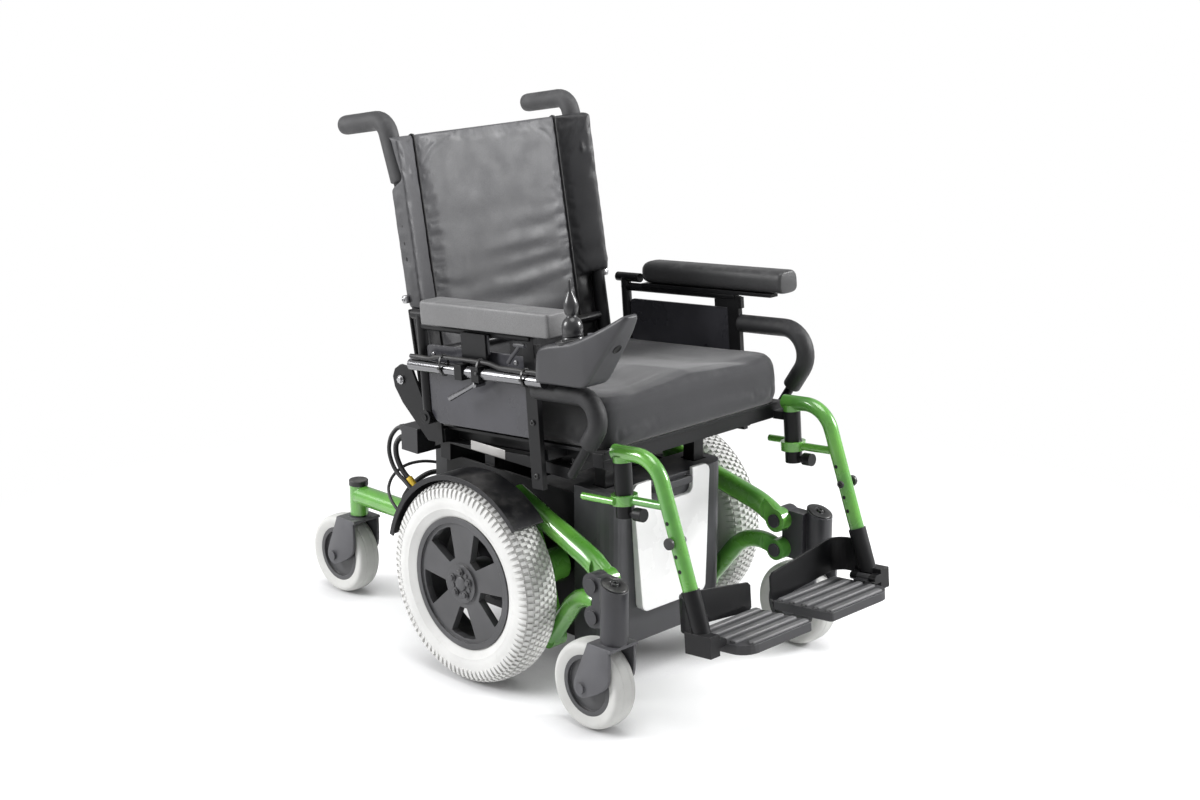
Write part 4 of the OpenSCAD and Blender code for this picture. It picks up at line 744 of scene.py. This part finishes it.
BACK_LOW, BACK_TOP, BOLSTER_LOW = 31.0, 485.0, 191.0
FLAP_X, FLAP_FRONT, FLAP_TOP = 203.5, 8.6, 189
SEAM_X, BOLSTER_X, BOLSTER_END, BOLSTER_OUT = 169.0, 174.0, 226.0, 234.5
KINK_Z, KINK_ANGLE = 395.0, math.radians(9.5)
NOTCH_X, NOTCH_LOW, NOTCH_HIGH = 199.0, 399.0, 413.0
BACK_MID, BACK_REAR, REAR_FLAT_X, REAR_FALL, NOTCH_REAR = 14.0, 20.5, 165, 0.09, -19
PANEL_FRONT, PANEL_SINK, SEAM_FRONT = 8.5, 2, 11.5
BOLSTER_FRONT, BOLSTER_RISE, BOLSTER_CURVE = 9, 29, 0.75
BACK_HALF = [0, 20, 40, 60, 80, 100, 120, 140, 154, 161, 165, 169, 172, 175, 180, 186, 192, 199, 206, 213,
             220, 226, 230, 233]


def back_front(x, flap):
    a = abs(x)
    if a <= SEAM_X - 8:
        return PANEL_FRONT + PANEL_SINK * math.cos(math.pi / 2 * x / SEAM_X)
    if a < BOLSTER_X - 1:
        return SEAM_FRONT
    if flap:
        return FLAP_FRONT
    share = max(0, min(1, (a - BOLSTER_X) / (BOLSTER_END - BOLSTER_X)))
    return BOLSTER_FRONT - BOLSTER_RISE * share ** BOLSTER_CURVE


def back_rear(x, z):
    a = abs(x)
    flat = BACK_REAR - max(0, a - REAR_FLAT_X) * REAR_FALL
    if a > NOTCH_X and z > NOTCH_LOW:
        share = min(1, (z - NOTCH_LOW) / (NOTCH_HIGH - NOTCH_LOW))
        return flat + (min(flat, NOTCH_REAR + (z - KINK_Z) * math.tan(KINK_ANGLE)) - flat) * share
    return flat


def back_shape():
    line = [-x for x in reversed(BACK_HALF[1:])] + BACK_HALF
    rows = [(BACK_LOW, 0.55), (BACK_LOW + 2, 0.85), (BACK_LOW + 6, 1)] + [(z, 1) for z in range(50, 190, 15)]
    rows += [(BOLSTER_LOW - 5, 1), (BOLSTER_LOW, 1)] + [(z, 1) for z in range(200, 476, 7)]
    rows += [(BACK_TOP - 6, 1), (BACK_TOP - 2, 0.85), (BACK_TOP, 0.55)]
    rings = []
    for z, k in rows:
        flap = z < BOLSTER_LOW
        wide = FLAP_X if flap else BOLSTER_OUT
        xs = [max(-wide, min(wide, x)) for x in line]
        front = [(x, back_front(x, flap)) for x in xs]
        rear = [(x, back_rear(x, z)) for x in reversed(xs)]
        rings.append([(x * MM, (BACK_MID + (y - BACK_MID) * k) * MM, z * MM) for x, y in front + rear])
    return loft(rings)


# creases of the back: across, height, length, width, depth, slope
WRINKLES = [(70, 250, 95, 13, 2.2, 0.03), (95, 222, 110, 14, 2.6, 0.06), (105, 292, 60, 12, 1.4, -0.04),
            (150, 330, 26, 8, 1.0, 0.12), (150, 305, 28, 8, 1.1, 0.1), (150, 278, 30, 8, 1.1, 0.14),
            (150, 352, 22, 8, 0.8, 0.1), (40, 172, 120, 15, 1.9, -0.03), (120, 190, 70, 13, 1.7, 0.05),
            (-120, 210, 45, 12, 1.0, -0.08), (-150, 300, 24, 9, 0.6, -0.1), (-60, 330, 70, 16, 0.6, 0.04)]
CREASED_TO = 15


def crease(made):
    """Presses the creases, drawn in towards the lower left, into the front of the back."""
    turn = back.to_3x3()
    for v in made.data.vertices:
        x, y, z = (to_back @ v.co) / MM
        if y > CREASED_TO:
            continue
        depth = 0.0
        for wx, wz, length, width, deep, slope in WRINKLES:
            across = (z - wz - slope * (x - wx)) / width
            depth += deep * hump(x - wx, length) * (hump(across, 1) - 0.6 * hump(across - 1.7, 1))
        v.co = v.co + turn @ mm(0, depth, 0)


def ease_bolster_ends(made):
    """Smooths the back cover where the bolsters stop above the flap."""
    bm = bmesh.new()
    bm.from_mesh(made.data)
    spots = [(v, (to_back @ v.co) / MM) for v in bm.verts]
    near = [v for v, p in spots if abs(p.x) > 186 and abs(p.z - BOLSTER_LOW) < 16]
    for _ in range(6):
        bmesh.ops.smooth_vert(bm, verts=near, factor=0.5, use_axis_x=True, use_axis_y=True, use_axis_z=True)
    bm.to_mesh(made.data)
    bm.free()


def back_held(p):
    x, y, z = (to_back @ p) / MM
    return abs(abs(x) - SEAM_X) < 5 or y > 17 or z > BACK_TOP - 3 or z < BACK_LOW + 3


back_cover = piece("back_cover", moved(back_shape(), back), back_vinyl)
swell(back_cover, 0.005, back_held, 3.0 * MM, slack=0.01)
crease(back_cover)
ease_bolster_ends(back_cover)
back_cover.data.materials.append(flap_cloth)
for face in back_cover.data.polygons:
    spot = (to_back @ face.center) / MM
    if spot.z < BOLSTER_LOW - 2 and abs(spot.x) > SEAM_X:
        face.material_index = 1
rounded(back_cover)
dress(back_cover, "backrest", ["back_upholstery"])

FLAP_END_X, FLAP_END_HALF = 213.5, 15.5
flap_ends = [rounded_box((x - FLAP_END_HALF, 14, BACK_LOW), (x + FLAP_END_HALF, 19, FLAP_TOP), 2)
             for x in (FLAP_END_X, -FLAP_END_X)]
piece("back_flap_ends", moved(joined(*flap_ends), back), flap_cloth, "backrest")

piping_line = [(9.6, z) for z in range(int(BACK_LOW) + 2, int(BACK_TOP), 8)]
piping_line += [(10.5, BACK_TOP - 0.5), (15, BACK_TOP + 0.4), (20, BACK_TOP - 1)]
pipes = [sweep([(x, y, z) for y, z in piping_line], 2.3, 10, 1) for x in (SEAM_X, -SEAM_X)]
piece("back_piping", moved(joined(*pipes), back), piping_black, "backrest")


def pad_shape(long, corner, rear_round, rear_flat):
    """Pad lying towards -Y from its rear end; a corner of 0 is square and of 1 is round."""
    front_round, front_flat = 7, 0.8
    ring = []
    for a in turns(64):
        up = math.sin(a)
        tall = PAD_THICK * (PAD_UNDER if up < 0 else 1 - PAD_UNDER)
        ring.append((soft(math.cos(a), PAD_WIDE / 2, corner), soft(up, tall, corner)))
    bend = [math.radians(a) for a in range(6, 91, 12)]
    rows = [(rear_round * (1 - math.cos(t)), rear_flat + (1 - rear_flat) * math.sin(t)) for t in bend]
    rows += [(rear_round + (long - rear_round - front_round) * i / 30, 1) for i in range(1, 30)]
    rows += [(long - front_round * (1 - math.cos(t)), front_flat + (1 - front_flat) * math.sin(t))
             for t in reversed(bend)]
    return loft([[mm(x * k, -y, z * k) for x, z in ring] for y, k in rows])


PAD_REAR, PAD_WIDE, PAD_THICK, PAD_UNDER = 353.0, 49.4, 41.0, 0.4
# The left pad gets the darker copy of the pad skin: painted shade.
PADS = (("left", 180, pad_painted_shade, (344, 0.6, 26, 0.12)), ("right", 190, pad_vinyl, (312, 0.2, 6, 0.8)))
for side, bottom, skin, form in PADS:
    node = "armrest_pad_" + side
    low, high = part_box(node)
    height = (bottom + PAD_THICK * PAD_UNDER) * MM
    at = seat @ Matrix.Translation(((low.x + high.x) / 2, PAD_REAR * MM, height))
    cover = moved(pad_shape(*form), at)
    pad = piece("armrest_cover_" + side, cover, skin, "armrest_" + side, [node], sharp=75)

GUARD_X, GUARD_R, GUARD_TUBE_R, GUARD_REAR, GUARD_RUN, GUARD_TURN = 253.0, 15.9, 7.9, 113, 99, 128
# arm guards: height, bend, length of the leg, part of it that is padded
for side, height, bend, length, covered in (("left", 121, 44, 113, 44), ("right", 96, 36, 98, 30)):
    x = SIDES[side] * GUARD_X
    start = (GUARD_REAR, height)
    legs = [(GUARD_RUN,), (bend, GUARD_TURN)]
    padded = walk(start, 180, legs + [(covered - 5,)])
    bare = walk(start, 180, legs + [(length - 2,)])[len(walk(start, 180, legs)):]
    sleeve = moved(sweep([(x, y, z) for y, z in padded], GUARD_R, 28, 5), seat)
    tube = moved(sweep([(x, y, z) for y, z in bare], GUARD_TUBE_R, 24, 2), seat)
    arm = "armrest_" + side
    guard = piece("arm_guard_sleeve_" + side, sleeve, foam_black, arm, ["arm_guard_" + side])
    piece("arm_guard_tube_" + side, tube, frame_black, arm)

CANE_X, CANE_BEND, GRIP_R = 218.0, 60.0, 17.0
grip_low = KINK_Z + CANE_BEND * math.sin(KINK_ANGLE) + 5
cane_line = walk((0, KINK_Z), 90, [(CANE_BEND, -9.5), (89.4,), (28, -80.5), (88,)], 6)
grip_line = [(y, z) for y, z in cane_line if z > grip_low or y > 20]
grips = [sweep([(x, y, z) for y, z in grip_line], lambda t: GRIP_R - (0.9 if t > 0.985 else 0), 28, 5)
         for x in (CANE_X, -CANE_X)]
grip = piece("push_grip_sleeves", moved(joined(*grips), back), grip_foam, "backrest", ["push_grips"])


# joystick

JOY = Vector((-268, 6, 180))
BOOT = [(15.0, 5), (16.6, 8), (17.1, 10.5), (17.1, 13.5), (16.0, 15), (16.8, 16.6), (16.9, 19), (16.2, 20.6),
        (16.8, 23), (17.1, 28), (16.7, 33), (15.3, 38), (12.8, 42), (9.6, 45), (7.6, 47.5)]
KNOB = [(7.4, 48.5), (9.6, 51), (11.3, 55), (12.0, 60), (11.8, 66), (10.6, 71.5), (8.4, 76.5), (6.0, 81),
        (4.3, 84.5), (3.3, 88), (2.7, 95), (2.2, 103), (1.4, 106.6), (0.4, 107.6)]
stick = moved(lathe([(4.9, -4)] + BOOT + KNOB, 48), seat @ Matrix.Translation(JOY * MM))
piece("joystick_knob", stick, stick_rubber, "joystick_lever", ["joystick_stick"], sharp=60)

# housing along its length: height of its top and underside, and half its width
SHELL_TOP = [(-127, 236), (-124, 239.5), (-116, 237), (-104, 230.5), (-84, 220), (-62, 210), (-38, 200),
             (-14, 192), (11, 188), (36, 184), (50, 180.5), (58, 177), (62, 171), (66, 148), (71, 121)]
SHELL_LOW = [(-127, 233), (-119, 221), (-112, 210), (-50, 133), (-42, 124.5), (-34, 120), (-24, 119),
             (71, 119)]
SHELL_HALF = [(-127, 8), (-125.5, 12), (-122, 15.5), (-114, 18.5), (-96, 22), (-70, 25.8), (-44, 28.3),
              (-20, 29), (60, 29), (66, 28.4), (69, 27), (71, 25)]
SHELL_EDGE, DISH_R, DISH_FLOOR = 8.0, 25.0, 156.0
COLLAR_UP, COLLAR_FACING = Vector((0, 0, 8.6)), (0, 0.158, 0.987)
SOCKET_AT, SOCKET_FACING = (-268, -90, 183), (0, -0.78, -0.627)


def between(table, at):
    """Straight reading from a table of (place, value)."""
    for (a, va), (c, vc) in zip(table, table[1:]):
        if at <= c:
            return va + (vc - va) * max(0, at - a) / (c - a)
    return table[-1][1]


def shell_ring(y):
    """Upright slice of the joystick housing with rounded edges and the dish for the stick."""
    top, low, half = between(SHELL_TOP, y), between(SHELL_LOW, y), between(SHELL_HALF, y)
    edge = min(SHELL_EDGE, (top - low) * 0.45, half * 0.6)
    ring = []
    for corner, (sx, sz) in enumerate(((1, 1), (-1, 1), (-1, -1), (1, -1))):
        cx = sx * (half - edge)
        cz = top - edge if sz > 0 else low + edge
        for step in range(7):
            a = math.radians(90 * corner + 15 * step)
            ring.append((cx + edge * math.cos(a), cz + edge * math.sin(a)))
        if corner == 0:
            ring += [((half - edge) * (1 - i / 8), top) for i in range(1, 16)]
    points = []
    for x, z in ring:
        in_dish = math.hypot(x, y - JOY.y) < DISH_R and z > DISH_FLOOR
        points.append(mm(JOY.x + x, y, DISH_FLOOR if in_dish else z))
    return points


slices = [-127, -126.2, -125, -123, -120] + list(range(-116, -18, 6)) + list(range(-18, 33, 3))
slices += [36, 42, 48, 53, 57, 60, 62, 64, 66, 68, 69.5, 71]
shell = moved(loft([shell_ring(y) for y in slices]), seat)
piece("joystick_shell", shell, stick_grey, "joystick_mount", ["joystick_housing"], sharp=50)
collar = lathe([(24.8, -8), (24.8, 1.4), (25.6, 2.4), (27.0, 2.4), (28.2, 1.4), (28.4, -4)], 56, closed=True)
collar = moved(collar, seat @ aim(JOY + COLLAR_UP, COLLAR_FACING))
piece("joystick_collar", collar, cap_black, "joystick_mount")
socket = lathe([(8.6, -2), (8.6, 1.0), (7.4, 1.6), (6.2, 1.2), (6.0, 0.3), (0.4, 0.3)], 28)
piece("joystick_socket", moved(socket, seat @ aim(SOCKET_AT, SOCKET_FACING)), hole_painted_shade, "joystick_mount")

LEAD_X, LEAD_R = -278.0, 3.9
LEAD = [(71.5, 130), (92, 131), (112, 130.5), (132, 130.5), (152, 130.5), (172, 131), (192, 135), (206, 136),
        (226, 136), (246, 136), (264, 136), (284, 136), (302, 136), (318, 136), (332, 134), (346, 131),
        (362, 130.5), (380, 131), (396, 131)]
lead = sweep(smooth_route([(LEAD_X, y, z) for y, z in LEAD]), LEAD_R, 14)
piece("joystick_lead_cable", moved(lead, seat), cable_black, "joystick_mount", ["joystick_lead"])

TIE_X, TIE_Z, TIE_MID, TIE_R = -275.8, 116, 118, 11.2
TIES = ((312, 25), (219, 25), (112, 19.6))


def cable_tie(y, tall):
    """Tie strap round the tube and its cable, with its square lock."""
    ring = []
    for a in turns(32):
        up = math.sin(a)
        pinch = 1.6 if up > 0.3 else 0
        ring.append((TIE_R * math.cos(a) - pinch, TIE_Z + up * (TIE_R if up < 0 else tall)))
    rows = [[mm(x * k + TIE_X, y + dy, (z - TIE_MID) * k + TIE_MID) for x, z in ring]
            for dy, k in ((-2.4, 0.97), (-2.2, 1.05), (2.2, 1.05), (2.4, 0.97))]
    lock = rounded_box((-291, y - 3, TIE_Z), (-286, y + 3, TIE_Z + 5), 0.8)
    return joined(loft(rows, caps=False), lock)


ties = joined(*[cable_tie(y, tall) for y, tall in TIES])
piece("cable_ties", moved(ties, seat), cap_black, "joystick_mount")


# small fittings, gathered into one piece per body and finish

fittings = {}


def fit(body, material, shape, local):
    fittings.setdefault((body, material), []).append(moved(shape, local))


ARM_CAP = lathe([(20.5, -1), (20.5, 1.6), (19, 2.6), (9, 2.9), (8.4, 1.6), (1, 1.6)], 40)
ARM_CAP_TURN, ARM_CAP_Z, ARM_CAP_STRETCH = math.radians(20.3), 0.2555, (1.0, 1.06, 1.0, 1.0)
HEAD_PLUG, HEAD_PLUG_Z = lathe([(18.3, -7), (18.3, 2), (17, 3.4), (3, 3.8)], 40), 0.228
# HOLE is a flat disc for the hanger's holes, finished in painted shade.
HOLE = lathe([(3.4, -0.5), (3.4, 0.25), (2.6, 0.3), (0.4, 0.3)], 20)
STAR_KNOB = lathe([(4, -1), (4.5, 3), (9.4, 4.4), (10, 7), (9, 10.5), (3, 11.4)], 12)
HANGER_X, HANGER_FRONT, HANGER_BEND, HANGER_SLOPE = 211, -62, 55, math.radians(74)
HANGER_HOLES, HANGER_KNOB = (62, 116, 140), 93
leg_along = Vector((0, -math.cos(HANGER_SLOPE), -math.sin(HANGER_SLOPE)))
leg_y = HANGER_FRONT - HANGER_BEND * math.sin(HANGER_SLOPE)
leg_z = -HANGER_BEND * (1 - math.cos(HANGER_SLOPE))
for side, sign in SIDES.items():
    cap_at = chair @ Matrix.Translation((sign * wheel_x, SWIVELS["front"][1], ARM_CAP_Z))
    cap_at = cap_at @ Matrix.Rotation(ARM_CAP_TURN, 4, "X")
    fit("front_arm_" + side, cap_black, ARM_CAP, cap_at @ Matrix.Diagonal(ARM_CAP_STRETCH))
    fit("front_arm_" + side, cap_black, socket_bolt(6.2, 4), cap_at @ Matrix.Translation(mm(0, 0, 1.6)))
    x, y = SWIVELS["rear"]
    plug_at = chair @ Matrix.Translation((sign * x, y, HEAD_PLUG_Z))
    fit("rear_link_" + side, cap_black, HEAD_PLUG, plug_at)
    arm, leg = "armrest_" + side, "legrest_" + side
    for body, material, bolt, (x, y, z) in (
            ("base", zinc_bolt, hex_bolt(6, 5), (238.5, 478, 74)),
            ("base", zinc_bolt, socket_bolt(6, 3.5), (236.4, 418, 12)),
            (arm, zinc_bolt, socket_bolt(4.2, 2.4), (252, 160, 136)),
            (arm, zinc_bolt, socket_bolt(4.2, 2.4), (252, 366, 132)),
            (arm, cap_black, socket_bolt(5, 3), (255, 126, 40)),
            (arm, cap_black, socket_bolt(5, 3), (255, 126, -50))):
        fit(body, material, bolt, seat @ aim((sign * x, y, z), (sign, 0, 0)))
    leg_top = Vector((sign * HANGER_X, leg_y, leg_z))
    for way in (1, -1):
        for far in HANGER_HOLES:
            spot = leg_top + leg_along * far + Vector((way * 12.7, 0, 0))
            fit(leg, hole_painted_shade, HOLE, seat @ aim(spot, (way, 0, 0)))
        spot = leg_top + leg_along * HANGER_KNOB + Vector((way * 12.2, 0, 0))
        fit(leg, cap_black, STAR_KNOB if way == sign else socket_bolt(6.5, 3), seat @ aim(spot, (way, 0, 0)))

CHEEK = [(-18, 157.6), (6, 157.8), (30, 157.6), (40, 134), (51, 108), (61, 84), (61, 76), (58.7, 67.5),
         (52.5, 61.3), (44, 59.2), (35, 61.5), (22, 67), (4, 77), (-10, 88), (-18, 102), (-19, 130)]
CHEEK_IN, CHEEK_OUT, CHEEK_SOFT = 26.3, 32.0, 1.4
RIB_FOOT, RIB_PITCH, RIB_FIRST = -291.6, 25.5, -242
RIB = [(-6.4, -291.6), (-6.2, -289.2), (-5.2, -287.6), (-3, -286.9), (3, -286.9), (5.2, -287.6),
       (6.2, -289.2), (6.4, -291.6)]


def cut_corners(line):
    """A closed line with each corner cut once."""
    made = []
    for here, after in zip(line, line[1:] + line[:1]):
        for share in (0.25, 0.75):
            made.append(tuple((1 - share) * a + share * c for a, c in zip(here, after)))
    return made


def cheek_shape():
    """Broad side plate of a caster fork, its outer edge eased."""
    line = [Vector(p) for p in cut_corners(CHEEK)]
    mid = sum(line, Vector((0, 0))) / len(line)
    steps = ((CHEEK_IN, 0), (CHEEK_OUT - CHEEK_SOFT, 0), (CHEEK_OUT - 0.4, 0.5), (CHEEK_OUT, CHEEK_SOFT))
    rings = []
    for x, inset in steps:
        eased = [p + (mid - p).normalized() * inset for p in line]
        rings.append([mm(x, p.x, p.y) for p in eased])
    return loft(rings)


def rib_shape(y, x0, x1):
    """One rounded footplate rib along X."""
    ends = ((x0, 0.55), (x0 + 1.5, 0.9), (x0 + 4, 1), (x1 - 4, 1), (x1 - 1.5, 0.9), (x1, 0.55))
    return loft([[mm(x, y + ry * k, RIB_FOOT + (rz - RIB_FOOT) * k) for ry, rz in RIB] for x, k in ends])


cheeks = joined(cheek_shape(), mirrored(cheek_shape()))
ribs = joined(*[rib_shape(RIB_FIRST + RIB_PITCH * i, 27.5, 179.5 if i else 166) for i in range(5)])
for side, sign in SIDES.items():
    for end, (x, y) in SWIVELS.items():
        fit(end + "_swivel_" + side, fork_coat_painted_light, cheeks, chair @ Matrix.Translation((sign * x, y, 0)))
    fit("foot_" + side, foot_grey, ribs if sign > 0 else mirrored(ribs), seat)

LEVER_X, HIGH_LEVER_X, BRACKET_X = -285.0, -276, -264
fit("armrest_right", cast_charcoal, rounded_box((BRACKET_X, 211, 146), (-260.5, 270, 179), 1.5), seat)
# The eyelets are flat discs for holes, finished in painted shade.
eyelet = lathe([(4.6, -0.5), (4.6, 0.6), (3.4, 0.7), (3.2, 0.2), (0.4, 0.2)], 24)
for y in (222, 259):
    fit("armrest_right", hole_painted_shade, eyelet, seat @ aim((BRACKET_X, y, 158), (-1, 0, 0)))
low_line = [(LEVER_X, 228 + 65 * t, 99 - 30 * t) for t in (0, 0.15, 0.35, 0.6, 0.85, 1)]
low_pin = moved(lathe([(5, 0), (5, 22), (3, 23)], 20), aim((BRACKET_X, 230, 98), (-1, 0, 0)))
fit("armrest_right", bright_steel, joined(sweep(low_line, lambda t: 3.4 + 1.6 * t, 12, 3), low_pin), seat)
for line, radius in ((((152, 141), (142, 152), (130, 163), (122, 171)), 3.4),
                     (((134, 172), (122, 172.5), (110, 172)), 3.8)):
    high_lever = sweep([(HIGH_LEVER_X, y, z) for y, z in line], radius, 12, 2)
    fit("armrest_right", cast_charcoal, high_lever, seat)

CANE_LUG_X, CANE_LUG_HALF = 236, Vector((6, 6, 7))
for sign, y, z in ((1, 0, 186), (-1, 9, 208)):
    spot = Vector((sign * CANE_LUG_X, y, z))
    fit("backrest", zinc_bolt, rounded_box(spot - CANE_LUG_HALF, spot + CANE_LUG_HALF, 3), back)
    bolt_at = spot + Vector((sign * CANE_LUG_HALF.x, 0, 0))
    fit("backrest", zinc_bolt, socket_bolt(3.6, 2.4), back @ aim(bolt_at, (sign, 0, 0)))

DOCK_X, DOCK_Y, DOCK_Z = -180, 266, (357, 376)
plug = lathe([(7.4, -0.5), (7.4, 9), (6.5, 10.6), (5.6, 11), (5.2, 16)], 24)
for z in DOCK_Z:
    fit("base", cap_black, plug, chair @ aim((DOCK_X, DOCK_Y, z), (0, 1, 0)))
sleeve = sweep([(-184.6, 257, 285), (-184, 252, 281), (-184, 245, 275), (-184, 238, 269)], 7, 18, 1.5)
fit("base", yellow_shell, sleeve, chair)
fit("base", plate_bare, rounded_box((-226.2, -46, 395.5), (-224.8, 40, 411.5), 0.6), chair)

for (body, material), shapes in fittings.items():
    piece(body + "_" + material.name.replace(" ", "_"), joined(*shapes), material, body)


# cables at the rear, from plug to plug

LOOM = [(78, 276.3, 268), (78, 283, 268), (83, 293, 268), (100, 302, 266), (125, 304, 258), (150, 300, 246),
        (170, 290, 236), (182, 272, 228), (186, 252, 218), (182, 236, 204), (175, 226, 190),
        (172, 219.5, 184), (172, 213.3, 184)]
DOCK_LOW = [(-180, 276.3, 357), (-180, 281, 357), (-183, 286, 351), (-187, 288, 341), (-189, 285, 324),
            (-188, 277, 306), (-186, 266, 292), (-184, 252, 281), (-184, 238, 269), (-181, 218, 252),
            (-178, 200, 240), (-176, 188, 230), (-175, 184, 222), (-175, 184, 216.3)]
THIN = [(-40, 276.3, 268), (-40, 281, 268), (-46, 292, 270), (-62, 312, 276), (-90, 330, 281),
        (-120, 343, 277), (-146, 347, 263), (-166, 338, 247), (-178, 320, 234), (-186, 298, 224),
        (-190, 274, 214), (-189, 250, 206), (-182, 232, 198), (-173, 220, 195), (-173, 213.3, 195)]
DOCK_HIGH = [(-180, 276.3, 376), (-180, 283, 375.5), (-184, 292, 369), (-191, 298, 354), (-196, 297, 332),
             (-197, 288, 310), (-196, 275, 294), (-194, 259, 283), (-193, 243, 272), (-190, 224, 256),
             (-187, 205, 244), (-184, 192, 234), (-183, 185, 224), (-183, 184, 215)]
TRUNK = [(-70, 250, 344.5), (-70, 250, 358), (-76, 244, 374), (-92, 228, 386), (-112, 206, 390),
         (-128, 182, 388), (-136, 156, 380), (-138, 138, 376), (-138, 120.5, 375)]
TRUNK_R, TRUNK_RIB, TRUNK_WAVES = 8.9, 0.45, 260


def ribbed_sleeve(share):
    return TRUNK_R + TRUNK_RIB * math.sin(share * TRUNK_WAVES)


motor_cable = sweep(smooth_route(LOOM), 4.9, 14)
cables = [motor_cable, mirrored(motor_cable)]
for line, radius, sides in ((DOCK_LOW, 4.9, 14), (THIN, 2.9, 12), (DOCK_HIGH, 3.9, 12)):
    cables.append(sweep(smooth_route(line), radius, sides))
piece("rear_cables", moved(joined(*cables), chair), cable_black, "base", ["wiring_loom"])
trunk = sweep(smooth_route(TRUNK, 24), ribbed_sleeve, 18)
piece("rear_cable_trunk", moved(trunk, chair), cable_black, "base")


# finishes of the carried solids

DRESS = {
    green_enamel: ["front_upper_arm", "front_lower_arm", "rear_arm", "hanger"],
    wheel_grey: ["drive_rim", "front_hub", "rear_hub"],
    cast_charcoal: ["front_housing"],
    fork_coat_painted_light: ["front_fork", "rear_fork"],
    frame_black: ["base_frame", "seat_frame", "back_canes", "armrest_frame", "leg_tube", "heel_loop"],
    fender_black: ["fenders"],
    shroud_grey: ["front_shroud"],
    panel_white: ["front_panel"],
    motor_grey: ["drive_motors"],
    battery_black: ["batteries"],
    module_black: ["control_module"],
    foot_dark: ["footplate"],
    side_grey: ["side_panel"],
    bright_steel: ["joystick_tube", "joystick_gimbal"],
    bush_rubber: ["pivot_bushes"],
    button_pale: ["power_button"],
}
for material, stems in DRESS.items():
    wanted = [stem + end for stem in stems for end in ("", "_left", "_right")]
    for name, made in nodes.items():
        if name in wanted:
            for place in made.material_slots:
                place.material = material


# studio

WHITE = (1, 1, 1, 1)
FLOOR_FAR, FLOOR_LOW = 40.0, -0.0004
WORLD_LIGHT, MIRRORED_WHITE = 0.30, 0.35
PHOTO_WIDE, PHOTO_FOCUS, SENSOR = 1200, 2062, 36
CAMERA_AT, CAMERA_YAW, CAMERA_PITCH = (-2.466, -2.490, 1.415), math.radians(45.26), math.radians(15.46)


def white_rays(b):
    rays = b.add("ShaderNodeLightPath").outputs
    seen = b.math("ADD", rays["Is Camera Ray"], b.times(rays["Is Glossy Ray"], MIRRORED_WHITE), True)
    return b.math("ADD", seen, rays["Is Transmission Ray"], True)


def mixed(b, share, first, second):
    made = b.add("ShaderNodeMixShader", Fac=share)
    b.fill(made, {1: first.outputs[0], 2: second.outputs[0]})
    return made


def studio_floor():
    mesh = bpy.data.meshes.new("floor")
    corners = [(x * FLOOR_FAR, y * FLOOR_FAR, FLOOR_LOW) for x, y in ((-1, -1), (1, -1), (1, 1), (-1, 1))]
    mesh.from_pydata(corners, [], [[0, 1, 2, 3]])
    floor = bpy.data.objects.new("floor", mesh)
    bpy.context.scene.collection.objects.link(floor)
    made = bpy.data.materials.new("pale floor")
    b = empty_board(made)
    away = b.vector("LENGTH", b.place()).outputs["Value"]
    # The floor's glow for camera rays drops where ambient occlusion finds the chair within 0.14 m: a painted
    # contact shadow.
    open_sky = b.add("ShaderNodeAmbientOcclusion", {"samples": 8}, Distance=0.14).outputs["AO"]
    pale = b.add("ShaderNodeBsdfDiffuse", Color=(0.62, 0.62, 0.63, 1))
    glow_with_painted_shadow = b.add("ShaderNodeEmission", Color=WHITE, Strength=b.ramp(open_sky, 0.35, 0.95, 0.06, 0.5))
    shaded = b.add("ShaderNodeAddShader")
    b.fill(shaded, {0: pale.outputs[0], 1: glow_with_painted_shadow.outputs[0]})
    clear = b.add("ShaderNodeEmission", Color=WHITE, Strength=1.0)
    seen = mixed(b, b.ramp(away, 0.7, 1.5), shaded, clear)
    lit = b.add("ShaderNodeBsdfDiffuse", Color=(0.92, 0.92, 0.92, 1))
    b.add("ShaderNodeOutputMaterial", Surface=mixed(b, white_rays(b), lit, seen).outputs[0])
    mesh.materials.append(made)


def studio_world():
    world = bpy.data.worlds.new("studio")
    bpy.context.scene.world = world
    b = empty_board(world)
    strength = b.ramp(white_rays(b), 0.0, 1.0, WORLD_LIGHT, 1.0)
    sky = b.add("ShaderNodeBackground", Color=WHITE, Strength=strength)
    b.add("ShaderNodeOutputWorld", Surface=sky.outputs[0])


def placed(name, data, at, facing):
    made = bpy.data.objects.new(name, data)
    made.location = at
    made.rotation_mode = "QUATERNION"
    made.rotation_quaternion = facing.to_track_quat("-Z", "Y")
    bpy.context.scene.collection.objects.link(made)
    return made


def lamp(name, at, look, size, power):
    data = bpy.data.lights.new(name, "AREA")
    data.shape = "DISK"
    data.size = size
    data.energy = power
    placed(name, data, at, Vector(look) - Vector(at))


def photo_camera():
    data = bpy.data.cameras.new("photo view")
    data.sensor_width = SENSOR
    data.lens = SENSOR * PHOTO_FOCUS / PHOTO_WIDE
    level = math.cos(CAMERA_PITCH)
    facing = Vector((math.sin(CAMERA_YAW) * level, math.cos(CAMERA_YAW) * level, -math.sin(CAMERA_PITCH)))
    bpy.context.scene.camera = placed("photo view", data, chair @ Vector(CAMERA_AT), facing)


studio_floor()
studio_world()
lamp("right softbox", (3.1, -2.6, 2.3), (0, 0, 0.5), 1.6, 230)
lamp("left softbox", (-2.8, 2.3, 2.1), (0, 0, 0.45), 1.8, 140)
lamp("top softbox", (-0.3, -0.4, 3.4), (0, 0, 0.4), 2.0, 52)
photo_camera()
bpy.context.scene.view_settings.view_transform = "Standard"
